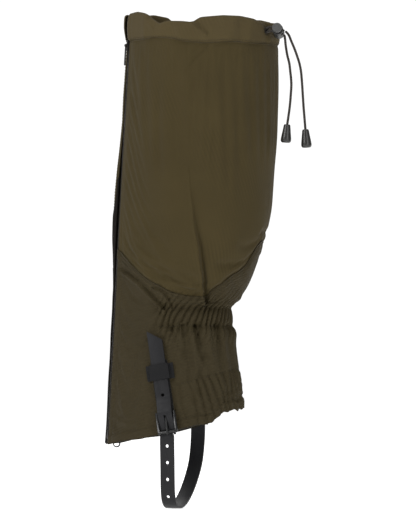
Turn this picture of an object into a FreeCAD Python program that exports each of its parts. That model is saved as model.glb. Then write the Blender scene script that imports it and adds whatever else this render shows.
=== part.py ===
import FreeCAD, Part
import Sketcher
import math
import os

# A knee-high walking gaiter for the left leg, standing as if worn.
# +Z is up, the shin side (with the zip) faces -Y, the calf is at +Y and the
# buckled, outer side of the leg is +X. The origin is on the ground under the
# instep strap, below the middle of the ankle. Millimetres throughout.

Vec = FreeCAD.Vector
WORLD = FreeCAD.Placement()

# Leg sleeve, horizontal elliptical sections:
# height, half width across X, half depth along Y, centre along Y
SECTIONS = [
    (50, 51.6, 68.2, -2.9), (75, 50.1, 68.3, -1.7), (100, 48.2, 68.4, -0.65),
    (125, 46.3, 67.3, -0.6), (150, 44.4, 65.0, -1.8), (175, 42.6, 63.2, -2.5),
    (189, 42.2, 60.5, -4.4), (200, 42.3, 60.4, -3.9), (213, 43.8, 64.2, 0.6),
    (229, 47.5, 68.7, 6.3), (253, 53.0, 72.3, 11.7), (277, 57.0, 75.0, 16.1),
    (301, 61.0, 76.7, 19.4), (325, 64.0, 76.9, 21.1), (349, 66.0, 77.1, 22.9),
    (373, 67.5, 77.9, 25.1), (397, 67.5, 77.3, 25.7), (421, 67.0, 77.1, 26.9),
    (445, 66.5, 76.5, 27.5), (469, 66.0, 75.9, 28.1), (505, 65.4, 75.0, 29.2),
]

# Side-view outlines (Y, Z): seam between the panels, foot hem and knee edge
SEAM = [
    (-90, 262), (-52.3, 260.3), (-45.3, 253.3), (-33, 240.6), (-20.9, 230.8),
    (-4.6, 222.4), (3.6, 217), (20.6, 213.3), (37.3, 213.3), (52, 226), (64, 235),
    (75.8, 243), (82.4, 258), (92.7, 275.7), (130, 284),
]
HEM = [
    (-90, 64), (-64, 64), (-49, 68), (-25, 70.7), (-10, 74.7), (11, 80.3),
    (32, 85.2), (45, 87.2), (52, 96), (61, 98.5), (90, 108),
]
EDGE = [
    (-90, 495.5), (-42.9, 495.5), (-31.4, 497.5), (-18.9, 495.0), (-14, 490),
    (-4.2, 484.5), (2.8, 487.3), (20.4, 486.6), (29.3, 485.6), (38, 490.5),
    (60.3, 492.4), (76.4, 491.9), (87.7, 489.4), (93.2, 486), (130, 486),
]

# Driving dimensions, each a cell of the sheet under its own alias
DIM = {
    # panels and drawcord tunnel; out and in are measured from the sleeve surface
    "wall": 1.2, "tunnel_out": 1.6, "tunnel_in": 4.2, "cavity_out": 0.4, "cavity_in": 3.0,
    "tunnel_foot": 468.2, "cavity_low": 473.0, "cavity_high": 483.0,
    # elastics inside the sleeve
    "elastic_outer_gap": 2.1, "elastic_inner_gap": 3.5,
    "ankle_band_low": 183.0, "ankle_band_tall": 18.0,
    # zip; zip_gap is each tape's distance from the centre line
    "zip_len": 418.0, "tape_half": 10.5, "tape_thick": 0.6, "zip_gap": 0.6,
    "coil_wide": 2.6, "coil_thick": 2.3, "slot_half": 6.5, "slider_len": 11.0,
    "slider_rest": 396.0, "pull_wide": 5.0, "pull_len": 20.0, "pull_thick": 1.2,
    # straps and buckle
    "strap_wide": 14.5, "strap_thick": 2.0, "hole_dia": 3.3, "backing_wide": 17.0,
    "backing_thick": 1.0, "backing_len": 69.5, "frame_wide": 20.2, "frame_tall": 22.0,
    "bar_rad": 1.5, "prong_rad": 0.9, "keeper_wide": 28.0, "keeper_tall": 15.6,
    "keeper_thick": 1.2, "rivet_dia": 4.0, "rivet_head": 9.0, "patch_thick": 0.6,
    # drawcord, cord lock and bell ends
    "cord_dia": 2.6, "lock_dia": 11.0, "lock_bore": 8.1, "plunger_dia": 8.0,
    "spring_wire": 0.5, "bell_low_dia": 10.5, "bell_len": 18.5,
    # lace hook
    "hook_bend_rad": 2.6, "hook_thick": 1.1, "hook_wide": 4.0,
}

# ---- document and sheet ----
doc = FreeCAD.newDocument("Gaiter")
sheet = doc.addObject("Spreadsheet::Sheet", "Dimensions")
doc.recompute()
free_rows = iter(range(1, 1000))
pieces = {}


def cell(alias, value):
    """One plain number in the sheet, under its alias."""
    address = "A%d" % next(free_rows)
    sheet.set(address, repr(float(value)))
    sheet.setAlias(address, alias)


def fill_sheet():
    for i, section in enumerate(SECTIONS):
        for word, value in zip(("level", "half_width", "half_depth", "centre"), section):
            cell("%s_%02d" % (word, i), value)
    for alias, value in DIM.items():
        cell(alias, value)
    for word, outline in (("seam", SEAM), ("hem", HEM), ("edge", EDGE)):
        for i, (y, z) in enumerate(outline):
            cell("%s_along_%02d" % (word, i), y)
            cell("%s_up_%02d" % (word, i), z)
    doc.recompute()


fill_sheet()


# ---- frames ----
def square_to(direction, axis):
    """Unit vector: the part of a direction square to a unit axis."""
    return (direction - axis * direction.dot(axis)).normalize()


def frame_from(origin, x_axis, z_axis):
    return FreeCAD.Placement(origin, FreeCAD.Rotation(x_axis, z_axis.cross(x_axis), z_axis, "ZYX"))


def moved(frame, at, rotation=FreeCAD.Rotation()):
    return frame.multiply(FreeCAD.Placement(Vec(*at), rotation))


# ---- plain solids and booleans ----
def primitive(kind, name, placement, bindings):
    solid = doc.addObject(kind, name)
    solid.Placement = placement
    return solid, bindings.items()


def box(name, size, at, frame=WORLD, **bindings):
    """A block with its low corner at a point of a frame."""
    solid = doc.addObject("Part::Box", name)
    solid.Length, solid.Width, solid.Height = size
    solid.Placement = moved(frame, at)
    for prop, expression in bindings.items():
        solid.setExpression(prop, expression)
    return solid


def cylinder(name, radius, length, at, direction, frame=WORLD, **bindings):
    solid = doc.addObject("Part::Cylinder", name)
    solid.Radius, solid.Height = radius, length
    solid.Placement = moved(frame, at, FreeCAD.Rotation(Vec(0, 0, 1), Vec(*direction)))
    for prop, expression in bindings.items():
        solid.setExpression(prop, expression)
    return solid


def boolean(kind, name, base, tool):
    result = doc.addObject("Part::" + kind, name)
    result.Base = base
    result.Tool = tool
    return result


def cut(name, base, tool):
    return boolean("Cut", name, base, tool)


def fuse(name, shapes):
    result = doc.addObject("Part::MultiFuse", name)
    result.Shapes = shapes
    return result


# ---- bodies, sketches and their features ----
def new_body(name, frame):
    body = doc.addObject("PartDesign::Body", name)
    body.Placement = frame
    return body


def new_sketch(body, name, role, offset=0.0):
    """An empty sketch on an origin plane; XY, YZ or XZ are its two axes."""
    sketch = body.newObject("Sketcher::SketchObject", name)
    plane = [f for f in body.Origin.OriginFeatures if f.Role == role + "_Plane"][0]
    sketch.AttachmentSupport = [(plane, "")]
    sketch.MapMode = "FlatFace"
    if offset:
        sketch.AttachmentOffset = FreeCAD.Placement(Vec(0, 0, offset), FreeCAD.Rotation())
    return sketch


def constrain(sketch, *terms, expression=None):
    index = sketch.addConstraint(Sketcher.Constraint(*terms))
    if expression:
        sketch.setExpression("Constraints[%d]" % index, expression)


def outline_sketch(body, name, role, points, offset=0.0, alias=None):
    """A closed outline; with an alias every corner is driven by the sheet."""
    sketch = new_sketch(body, name, role, offset)
    count = len(points)
    for i in range(count):
        start, end = points[i], points[(i + 1) % count]
        sketch.addGeometry(Part.LineSegment(Vec(*start), Vec(*end)), False)
    for i in range(count):
        constrain(sketch, "Coincident", i, 2, (i + 1) % count, 1)
    if alias:
        for i, point in enumerate(points):
            for axis, value in zip("xy", point):
                corner = "%s_%s_%02d" % (alias, axis, i)
                cell(corner, value)
                constrain(sketch, "Distance" + axis.upper(), -1, 1, i, 1, float(value),
                          expression="Dimensions." + corner)
    return sketch


def circle_sketch(body, name, role, centre, radii, offset=0.0, expression=None):
    """Circles about one centre."""
    sketch = new_sketch(body, name, role, offset)
    for radius in radii:
        circle = Part.Circle(Vec(*centre), Vec(0, 0, 1), radius)
        index = sketch.addGeometry(circle, False)
        constrain(sketch, "Radius", index, radius, expression=expression)
        if centre == (0, 0):
            constrain(sketch, "Coincident", index, 3, -1, 1)
    return sketch


def pad(body, name, sketch, length, expression=None, midplane=False, reverse=False):
    feature = body.newObject("PartDesign::Pad", name)
    feature.Profile = sketch
    feature.Length = length
    feature.Midplane = midplane
    feature.Reversed = reverse
    if expression:
        feature.setExpression("Length", expression)


def pocket(body, name, sketch, length=None, midplane=True):
    """A pocket of a given length, or right through the body."""
    feature = body.newObject("PartDesign::Pocket", name)
    feature.Profile = sketch
    if length is None:
        feature.Type = "ThroughAll"
    if midplane:
        feature.Midplane = True
    if length is not None:
        feature.Length = length


def revolve(body, name, sketch, axis):
    feature = body.newObject("PartDesign::Revolution", name)
    feature.Profile = sketch
    feature.ReferenceAxis = (sketch, [axis])
    feature.Angle = 360


def closed(faces):
    """A solid from faces that enclose it."""
    shell = Part.makeShell(faces)
    shell.sewShape()
    solid = Part.makeSolid(shell if shell.ShapeType == "Shell" else shell.Shells[0])
    if solid.Volume < 0:
        solid.reverse()
    return solid


def fixed_solid(name, faces):
    solid = doc.addObject("Part::Feature", name)
    solid.Shape = closed(faces)
    return solid


# ---- zip frame: it runs straight up the shin, a little to the outer side.
# Local X points to the outer side, local Y into the leg, local Z up the zip ----
ZIP_FOOT, ZIP_HEAD = Vec(11.5, -66.6, 69.0), Vec(19.3, -42.3, 469.0)
ZIP_UP = (ZIP_HEAD - ZIP_FOOT).normalize()
ZIP_IN = square_to(Vec(0.31, -0.951, 0.0), ZIP_UP) * -1.0
ZIP_SIDE = ZIP_IN.cross(ZIP_UP)
ZIP = frame_from(ZIP_FOOT, ZIP_SIDE, ZIP_UP)

# ---- sleeve surface. Angles run from the shin towards +X ----
FLAT_HALF, FLAT_BLEND = 15.0, 4.0  # flat strip beside the zip, fading out at its sides
FLAT_REACH = 20.0                  # depth behind the zip within which it applies
TAPE_CLEARANCE = 0.3


def section_at(z):
    """Half width, half depth and centre of the sleeve at a height, on smooth
    curves through the listed sections."""
    last = len(SECTIONS) - 2
    for i in range(last + 1):
        low, high = SECTIONS[i], SECTIONS[i + 1]
        if low[0] <= z <= high[0]:
            height = high[0] - low[0]
            t = (z - low[0]) / height
            result = []
            for k in (1, 2, 3):
                slope = (high[k] - low[k]) / height
                slope_low = slope_high = slope
                if i > 0:
                    below = SECTIONS[i - 1]
                    slope_low = ((low[k] - below[k]) / (low[0] - below[0]) + slope) / 2
                if i < last:
                    above = SECTIONS[i + 2]
                    slope_high = ((above[k] - high[k]) / (above[0] - high[0]) + slope) / 2
                result.append((2 * t ** 3 - 3 * t * t + 1) * low[k]
                              + (t ** 3 - 2 * t * t + t) * height * slope_low
                              + (3 * t * t - 2 * t ** 3) * high[k]
                              + (t ** 3 - t * t) * height * slope_high)
            return tuple(result)
    raise ValueError(z)


def outline_height(outline, y):
    """Height of a side-view outline at a place along Y."""
    if y <= outline[0][0]:
        return outline[0][1]
    for (y0, z0), (y1, z1) in zip(outline, outline[1:]):
        if y <= y1:
            t = (y - y0) / (y1 - y0)
            t = t * t * (3 - 2 * t) * 0.35 + t * 0.65
            return z0 + t * (z1 - z0)
    return outline[-1][1]


def skin_point(angle, z, grow):
    """A point of the sleeve moved outward by grow; beside the zip it lies
    flat in front of the tapes."""
    half_width, half_depth, centre = section_at(z)
    point = Vec((half_width + grow) * math.sin(angle),
                centre - (half_depth + grow) * math.cos(angle), z)
    from_zip = point - ZIP_FOOT
    side, depth = abs(from_zip.dot(ZIP_SIDE)), from_zip.dot(ZIP_IN)
    if side < FLAT_HALF and depth < FLAT_REACH:
        limit = -TAPE_CLEARANCE - (DIM["wall"] + grow)
        weight = min(1.0, max(0.0, (FLAT_HALF - side) / FLAT_BLEND))
        if depth > limit:
            point = point + ZIP_IN * ((limit - depth) * weight)
    return point


def bisect(low, high, is_below):
    """The place between two bounds where is_below turns false."""
    for _ in range(40):
        middle = (low + high) / 2
        if is_below(middle):
            low = middle
        else:
            high = middle
    return (low + high) / 2


def zip_angle(z, offset):
    """Angle at which the sleeve lies a sideways offset from the zip's middle."""
    return bisect(math.radians(-60), math.radians(80),
                  lambda a: (skin_point(a, z, 0.0) - ZIP_FOOT).dot(ZIP_SIDE) < offset)


def height_on(outline, lift=0.0):
    """A function of the angle: where the sleeve meets an outline, plus a lift."""
    def height(angle):
        return lift + bisect(
            51.0, 504.0, lambda z: z < outline_height(outline, skin_point(angle, z, 0.0).y))
    return height


def level(z):
    """A function of the angle that gives one height all round."""
    return lambda angle: z


def spread(count):
    """Stations from 0 to 1, closer together at both ends."""
    evenly = [i / (count - 1.0) for i in range(count)]
    return [t - 0.85 * math.sin(2 * math.pi * t) / (2 * math.pi) for t in evenly]


def wrap(low, high, around, rows, ends=None):
    """Angles and heights of a patch that wraps the leg from one side of the
    zip to the other, or between two given angles."""
    grid = []
    for u in spread(around):
        column = []
        z_low, z_high = 100.0, 300.0
        for row in range(rows):
            v = row / (rows - 1.0)
            # angle and height depend on each other, so they are settled in turns
            for _ in range(4):
                z = z_low + (z_high - z_low) * v
                if ends:
                    start, end = ends
                else:
                    start = zip_angle(z, DIM["slot_half"])
                    end = 2 * math.pi + zip_angle(z, -DIM["slot_half"])
                angle = start + (end - start) * u
                z_low, z_high = low(angle), high(angle)
            column.append((angle, z_low + (z_high - z_low) * v))
        grid.append(column)
    return grid


def skin_solid(name, grid, grow_out, grow_in):
    """Outer and inner spline skins of a patch, closed by four strips."""
    outer, inner = Part.BSplineSurface(), Part.BSplineSurface()
    outer.interpolate([[skin_point(a, z, grow_out) for a, z in column] for column in grid])
    inner.interpolate([[skin_point(a, z, grow_in) for a, z in column] for column in grid])
    faces = [outer.toShape(), inner.toShape()]
    for k in range(4):
        rims = [s.uIso(s.bounds()[k]) if k < 2 else s.vIso(s.bounds()[k])
                for s in (outer, inner)]
        faces.append(Part.makeRuledSurface(rims[0].toShape(), rims[1].toShape()))
    return fixed_solid(name, faces)


# ---- upper and lower panels, a narrow gap apart at the seam ----
HALF_SEAM_GAP = 0.3
TUNNEL_GAP = 0.5

pieces["upper_panel"] = skin_solid(
    "upper_panel_solid",
    wrap(height_on(SEAM, HALF_SEAM_GAP), level(DIM["tunnel_foot"] - TUNNEL_GAP), 61, 25),
    0.0, -DIM["wall"])
pieces["lower_panel"] = skin_solid(
    "lower_panel_solid",
    wrap(height_on(HEM), height_on(SEAM, -HALF_SEAM_GAP), 61, 21),
    0.0, -DIM["wall"])

# ---- drawcord ring inside the knee edge, and where both runs leave it ----
CORD_Z = 478.0
RING_INSET = 1.3
EXIT_X = 27.0
ring_width, ring_depth, ring_centre = section_at(CORD_Z)


def ring_point(degrees, z=CORD_Z):
    """A point of the cord's ring, at an angle from the shin towards +X."""
    angle = math.radians(degrees)
    return Vec((ring_width - RING_INSET) * math.sin(angle),
               ring_centre - (ring_depth - RING_INSET) * math.cos(angle), z)


EXIT = ring_point(180.0 - math.degrees(math.asin(EXIT_X / (ring_width - RING_INSET))))
EXIT_OUT = Vec(EXIT.x / ring_width ** 2, (EXIT.y - ring_centre) / ring_depth ** 2, 0).normalize()
EXIT_ALONG = Vec(EXIT_OUT.y, -EXIT_OUT.x, 0)


# ---- knee-edge drawcord tunnel: a folded strip, hollow for the cord ----
def make_top_hem():
    strip = skin_solid("tunnel_raw", wrap(level(DIM["tunnel_foot"]), height_on(EDGE), 61, 4),
                       DIM["tunnel_out"], -DIM["tunnel_in"])
    ends = (zip_angle(CORD_Z, 8.5), 2 * math.pi + zip_angle(CORD_Z, -8.5))
    cavity_grid = wrap(level(DIM["cavity_low"]), level(DIM["cavity_high"]), 61, 3, ends)
    cavity = skin_solid("cavity", cavity_grid, DIM["cavity_out"], -DIM["cavity_in"])
    exit_hole = cylinder("cord_exit", 5.0, 8.0, EXIT + EXIT_OUT * 0.2, EXIT_OUT)
    doc.recompute()
    hem = cut("tunnel_open", cut("tunnel_hollow", strip, cavity), exit_hole)
    doc.recompute()
    # slots for the upper ends of the two zip tapes
    slot_wide, slot_start = 10.6, 0.2
    for letter, x in (("a", slot_start), ("b", -slot_start - slot_wide)):
        slot = box("tape_slot_" + letter, (slot_wide, 0.9, 40.0), (x, -0.15, 385.0), ZIP)
        hem = cut("tunnel_slot_" + letter, hem, slot)
    return hem


pieces["top_hem"] = make_top_hem()


# ---- elastics inside, behind the ankle and in the heel hem ----
def make_elastic(name, low, high, start, end):
    grid = wrap(low, high, 31, 4, (math.radians(start), math.radians(end)))
    return skin_solid(name, grid, -DIM["elastic_outer_gap"], -DIM["elastic_inner_gap"])


pieces["ankle_elastic"] = make_elastic(
    "ankle_band", level(DIM["ankle_band_low"]),
    level(DIM["ankle_band_low"] + DIM["ankle_band_tall"]), 80, 280)
pieces["hem_elastic"] = make_elastic(
    "heel_band_solid", height_on(HEM, 9.0), height_on(HEM, 29.0), 115, 245)
doc.recompute()

# ---- zip: two tapes, two coils, stops, pin and box ----
COIL_BACK = -0.01  # hardware stands this little in front of the tapes


def zip_block(name, x_span, y_span, z_span, **bindings):
    """A block in the zip's frame, from its span along each axis."""
    spans = (x_span, y_span, z_span)
    return box(name, [high - low for low, high in spans], [low for low, high in spans],
               ZIP, **bindings)


def make_zip_chain():
    """The tape, coil and top stop of each side."""
    gap = DIM["zip_gap"]
    stop_blocks = []
    for side, sign, letter in (("outer", 1, "a"), ("inner", -1, "b")):
        def span(near, far):
            return sorted((sign * near, sign * far))

        pieces["zip_tape_" + side] = zip_block(
            "tape_" + side, span(gap, DIM["tape_half"]), (0.0, DIM["tape_thick"]),
            (0.0, DIM["zip_len"]),
            Length="Dimensions.tape_half - Dimensions.zip_gap",
            Width="Dimensions.tape_thick", Height="Dimensions.zip_len")
        pieces["zip_coil_" + side] = zip_block(
            "coil_" + side, span(gap, gap + DIM["coil_wide"]),
            (-DIM["coil_thick"], COIL_BACK), (9.2, 401.9),
            Length="Dimensions.coil_wide", Width="Dimensions.coil_thick - 0.01")
        stop_blocks.append(
            zip_block("stop_" + letter, span(0.7, 3.4), (-2.2, COIL_BACK), (402.2, 406.2)))
    stops = doc.addObject("Part::Compound", "stops")
    stops.Links = stop_blocks
    pieces["zip_top_stops"] = stops


make_zip_chain()
pieces["zip_retainer_box"] = zip_block(
    "retainer_block", (-0.35, 4.6), (-2.4, COIL_BACK), (0.2, 8.8))
pieces["zip_insertion_pin"] = zip_block(
    "pin_block", (-1.9, -DIM["zip_gap"]), (-2.0, COIL_BACK), (0.6, 8.9))

# ---- zip slider and its pull ----
PULL_PIN_Y = -5.0  # the pull's pin, in front of the tapes at the slider's mid length

# slider section (X, Y): a front and a back plate joined by a middle web
SLIDER_SECTION = [
    (-4.5, -3.9), (4.5, -3.9), (4.5, -0.35), (3.5, -0.35), (3.5, -2.7), (0.4, -2.7),
    (0.4, 0.9), (4.5, 0.9), (4.5, 1.9), (-4.5, 1.9), (-4.5, 0.9), (-0.4, 0.9),
    (-0.4, -2.7), (-3.5, -2.7), (-3.5, -0.35), (-4.5, -0.35),
]
# ears on the slider's front, side view (Y, Z)
EAR_OUTLINE = [
    (-3.9, 3.4), (-5.9, 4.3), (-6.2, 5.0), (-6.2, 6.0),
    (-5.9, 6.7), (-3.9, 7.6), (-3.5, 7.6), (-3.5, 3.4),
]


def make_slider():
    """One channelled casting, its section padded along the zip."""
    middle = DIM["slider_len"] / 2
    body = new_body("slider_body", moved(ZIP, (0, 0, DIM["slider_rest"] - middle)))
    sketch = outline_sketch(body, "slider_section", "XY", SLIDER_SECTION, alias="slider")
    pad(body, "slider_pad", sketch, DIM["slider_len"], "Dimensions.slider_len")
    doc.recompute()
    sketch = outline_sketch(body, "slider_ears", "YZ", EAR_OUTLINE, alias="ear")
    pad(body, "ears_pad", sketch, 4.8, midplane=True)
    gap_outline = [(-8, 0.5), (-8, 10.5), (-3.9, 10.5), (-3.9, 0.5)]
    sketch = outline_sketch(body, "slider_ear_gap", "YZ", gap_outline)
    pocket(body, "ear_gap", sketch, 3.2)
    sketch = circle_sketch(body, "slider_pin_hole", "YZ", (PULL_PIN_Y, middle), [0.78])
    pocket(body, "pin_hole", sketch)
    doc.recompute()
    return body


def make_pull():
    """A pin between the ears, a neck and a windowed tab hanging from it."""
    frame = moved(ZIP, (0, PULL_PIN_Y, DIM["slider_rest"]))
    thick, wide, length = DIM["pull_thick"], DIM["pull_wide"], DIM["pull_len"]
    pin = cylinder("pull_pin", 0.7, 4.7, (-2.35, 0, 0), (1, 0, 0), frame)
    neck = box("pull_neck", (2.8, thick, 4.6), (-1.4, -thick / 2, -4.2), frame,
               Width="Dimensions.pull_thick")
    tab = box("pull_tab", (wide, thick, length - 3.6), (-wide / 2, -thick / 2, -length), frame,
              Length="Dimensions.pull_wide", Width="Dimensions.pull_thick",
              Height="Dimensions.pull_len - 3.6")
    window = box("pull_window", (2.4, 4.0, 7.0), (-1.2, -2.0, -17.5), frame)
    return cut("pull_solid", fuse("pull_fused", [pin, neck, tab]), window)


pieces["zip_slider"] = make_slider()
pieces["zip_pull"] = make_pull()

# ---- near-side strap hardware, in a frame lying on the sleeve's outer side:
# local X outward, local Y towards the heel, local Z up the strap ----
STRAP_UP = Vec(-0.0787, -0.1623, 0.9836).normalize()
STRAP = frame_from(Vec(49.6, 2.0, 87.5), square_to(Vec(1, 0, 0), STRAP_UP), STRAP_UP)
SEAT_X = 0.2                     # inner face of the sewn-on pieces
HINGE_X, HINGE_Z = 3.8, 8.0      # axis of the buckle's hinge bar, along local Y

pieces["strap_backing"] = box(
    "backing", (DIM["backing_thick"], DIM["backing_wide"], DIM["backing_len"]),
    (SEAT_X, -DIM["backing_wide"] / 2, -7.5), STRAP,
    Length="Dimensions.backing_thick", Width="Dimensions.backing_wide",
    Height="Dimensions.backing_len")


def make_buckle_tab():
    """Webbing loop round the hinge bar, slotted for the prong."""
    wide = 11.0
    body = new_body("tab_body", STRAP)
    sketch = circle_sketch(body, "tab_ring", "XZ", (HINGE_X, HINGE_Z), [2.5, 1.62])
    pad(body, "tab_ring_pad", sketch, wide, midplane=True)
    flat = [(1.32, HINGE_Z), (2.1, 9.85), (2.2, 24.0), (1.32, 24.0)]
    sketch = outline_sketch(body, "tab_flat", "XZ", flat)
    pad(body, "tab_flat_pad", sketch, wide, midplane=True)
    doc.recompute()
    slot = [(-1.9, 4.0), (1.9, 4.0), (1.9, 12.5), (-1.9, 12.5)]
    pocket(body, "tab_slot_cut", outline_sketch(body, "tab_slot", "YZ", slot))
    return body


def make_buckle_frame():
    """Two rails and two cross bars, the rails' outer ends rounded."""
    half_wide = DIM["frame_wide"] / 2
    rail_deep, rail_wide = 3.2, 2.2
    bar_half = half_wide - 0.3
    parts = [box("rail_" + letter, (rail_deep, rail_wide, DIM["frame_tall"]),
                 (2.8, y, -12.0), STRAP, Height="Dimensions.frame_tall")
             for letter, y in (("a", half_wide - rail_wide), ("b", -half_wide))]
    parts += [cylinder("bar_" + word, DIM["bar_rad"], 2 * bar_half, (x, -bar_half, z),
                       (0, 1, 0), STRAP, Radius="Dimensions.bar_rad")
              for word, x, z in (("top", HINGE_X, HINGE_Z), ("low", 4.7, -10.2))]
    rough = fuse("frame_rough", parts)
    doc.recompute()
    to_local = STRAP.inverse()

    def is_outer_end(edge):
        if edge.Curve.TypeId != "Part::GeomLine" or abs(edge.Length - rail_deep) >= 0.01:
            return False
        return abs(abs(to_local.multVec(edge.CenterOfMass).y) - half_wide) < 0.05

    rounded = doc.addObject("Part::Fillet", "frame_solid")
    rounded.Base = rough
    rounded.Edges = [(i, 0.9, 0.9) for i, edge in enumerate(rough.Shape.Edges, 1)
                     if is_outer_end(edge)]
    return rounded


def make_prong():
    """An eye round the hinge bar and a pin lying over the lower bar."""
    body = new_body("prong_body", STRAP)
    sketch = circle_sketch(body, "prong_eye", "XZ", (HINGE_X, HINGE_Z), [2.35, 1.6])
    pad(body, "prong_eye_pad", sketch, 3.0, midplane=True)
    pin = [(5.4, 6.6), (4.0, 5.85), (6.5, -12.2), (7.0, -12.9), (8.1, -12.9), (8.4, -12.2)]
    sketch = outline_sketch(body, "prong_pin", "XZ", pin)
    pad(body, "prong_pin_pad", sketch, 2 * DIM["prong_rad"], "2 * Dimensions.prong_rad",
        midplane=True)
    return body


def make_keeper():
    """A loop over the strap with a foot on both sides."""
    foot, arch_out, arch_in = DIM["keeper_wide"] / 2, 9.8, 8.7
    foot_top = SEAT_X + DIM["keeper_thick"]
    roof = 4.7
    top = roof + DIM["keeper_thick"]
    section = [
        (SEAT_X, -foot), (foot_top, -foot), (foot_top, -arch_out), (top, -arch_out),
        (top, arch_out), (foot_top, arch_out), (foot_top, foot), (SEAT_X, foot),
        (SEAT_X, arch_in), (roof, arch_in), (roof, -arch_in), (SEAT_X, -arch_in),
    ]
    body = new_body("keeper_body", STRAP)
    sketch = outline_sketch(body, "keeper_section", "XY", section, 42.5, "keeper")
    pad(body, "keeper_pad", sketch, DIM["keeper_tall"], "Dimensions.keeper_tall")
    doc.recompute()
    return body


pieces["buckle_tab"] = make_buckle_tab()
pieces["buckle_frame"] = make_buckle_frame()
pieces["buckle_prong"] = make_prong()
pieces["strap_keeper"] = make_keeper()

# ---- straps ----
NEAR_END = Vec(52.3, 2.2, 72.0)   # middle of the instep loop's buckle-side end
FAR_END = Vec(-51.5, 11.6, 90.0)  # rivet on the far side
HOLE_RADIUS = DIM["hole_dia"] / 2
HALF_STRAP = DIM["strap_wide"] / 2

# centre line of the strap's free end in the strap frame (X, Z)
FREE_PATH = [
    (1.9, -13.6), (2.0, -10.0), (3.0, -5.5), (5.0, 0.0), (6.9, 4.5), (7.6, 8.0),
    (7.0, 12.0), (5.1, 17.0), (3.75, 22.0), (3.4, 28.0), (3.4, 45.0), (3.4, 60.0),
    (3.4, 78.0), (3.4, 93.5),
]


def strap_pipe(name, frame, path):
    """A flat strap swept along a curve lying in the local XZ plane."""
    body = new_body(name, frame)
    spine = new_sketch(body, name + "_spine", "XZ")
    curve = Part.BSplineCurve()
    curve.interpolate([Vec(x, z, 0) for x, z in path])
    spine.addGeometry(curve, False)
    start_x, start_z = path[0]
    low, high = start_x - DIM["strap_thick"] / 2, start_x + DIM["strap_thick"] / 2
    corners = [(low, -HALF_STRAP), (high, -HALF_STRAP), (high, HALF_STRAP), (low, HALF_STRAP)]
    section = outline_sketch(body, name + "_section", "XY", corners, start_z)
    for side, direction in enumerate(("Horizontal", "Vertical") * 2):
        constrain(section, direction, side)
    constrain(section, "DistanceX", 0, 1, 0, 2, DIM["strap_thick"],
              expression="Dimensions.strap_thick")
    constrain(section, "DistanceY", 1, 1, 1, 2, DIM["strap_wide"],
              expression="Dimensions.strap_wide")
    doc.recompute()
    pipe = body.newObject("PartDesign::AdditivePipe", name + "_pipe")
    pipe.Profile = section
    pipe.Spine = spine
    doc.recompute()
    return body


def make_free_end():
    """Strap over the hinge bar and up, with a slanted tip."""
    strap = strap_pipe("strap_free_body", STRAP, FREE_PATH)
    socket = cylinder("socket", 8.0, 12, NEAR_END + Vec(-6, 0, 0), (1, 0, 0))
    prong_slot = box("prong_slot", (14.0, 2.8, 13.0), (-2.0, -1.4, -6.5), STRAP)
    top_hole = cylinder("top_hole", HOLE_RADIUS, 14.0, (-3.0, 0, 27.0), (1, 0, 0), STRAP,
                        Radius="Dimensions.hole_dia / 2")
    tip = new_body("tip_cut", STRAP)
    beyond_tip = [(-9.0, 93.8), (9.0, 80.8), (12.0, 80.8), (12.0, 100.0), (-9.0, 100.0)]
    pad(tip, "tip_pad", outline_sketch(tip, "tip_outline", "YZ", beyond_tip), 40.0,
        midplane=True)
    doc.recompute()
    tools = fuse("strap_free_cuts", [socket, prong_slot, top_hole, tip])
    return cut("strap_free_solid", strap, tools)


def make_instep_loop():
    """From the buckle under the boot to the far-side rivet, in an upright
    plane through both ends."""
    yaw = math.atan2(FAR_END.y - NEAR_END.y, NEAR_END.x - FAR_END.x)
    frame = FreeCAD.Placement(Vec(0, NEAR_END.y + NEAR_END.x * math.tan(yaw), 0),
                              FreeCAD.Rotation(Vec(0, 0, 1), -math.degrees(yaw)))
    near_x, far_x = NEAR_END.x / math.cos(yaw), FAR_END.x / math.cos(yaw)
    # centre line (X, Z)
    path = [
        (near_x - 0.5, 79.6), (near_x, NEAR_END.z), (51.6, 50.0), (50.9, 30.0),
        (49.8, 17.0), (46.2, 8.2), (39.2, 3.4), (29.0, 1.6), (17.0, 3.0), (6.0, 6.3),
        (-8.4, 13.5), (-19.5, 21.0), (-29.0, 29.0), (-37.0, 37.0), (-43.6, 46.0),
        (-48.0, 57.0), (-50.6, 68.0), (-51.6, 80.0), (far_x, FAR_END.z), (-51.2, 97.3),
    ]
    strap = strap_pipe("strap_loop_body", frame, path)
    # round ends, so the loop can turn about each end
    near_round = cylinder("near_round", HALF_STRAP, 20, (near_x - 10, 0, NEAR_END.z),
                          (1, 0, 0), frame)
    far_round = cylinder("far_round", HALF_STRAP, 20, (far_x - 10, 0, FAR_END.z),
                         (1, 0, 0), frame)
    mid_span = box("mid_span", (190, 60, NEAR_END.z), (-130, -30, 0), frame)
    far_leg = box("far_leg", (40, 60, FAR_END.z), (far_x - 20, -30, 0), frame)
    keep = fuse("loop_keep", [mid_span, near_round, far_round, far_leg])
    # adjustment holes: start and direction of each, in the loop's frame
    hole_axes = [((38, 0, z), (1, 0, 0)) for z in (63.6, 47.0, 30.2)]
    hole_axes.append(((30, 0, 20.2), (0.93, 0, -0.36)))
    holes = [cylinder("loop_hole_%d" % i, HOLE_RADIUS, 30, at, direction, frame,
                      Radius="Dimensions.hole_dia / 2")
             for i, (at, direction) in enumerate(hole_axes)]
    holes.append(cylinder("rivet_hole", 2.8, 16, (far_x - 8, 0, FAR_END.z), (1, 0, 0), frame))
    trimmed = boolean("Common", "strap_loop_trim", strap, keep)
    return cut("strap_loop_solid", trimmed, fuse("loop_holes", holes))


pieces["strap_free_end"] = make_free_end()
pieces["instep_strap"] = make_instep_loop()


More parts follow.
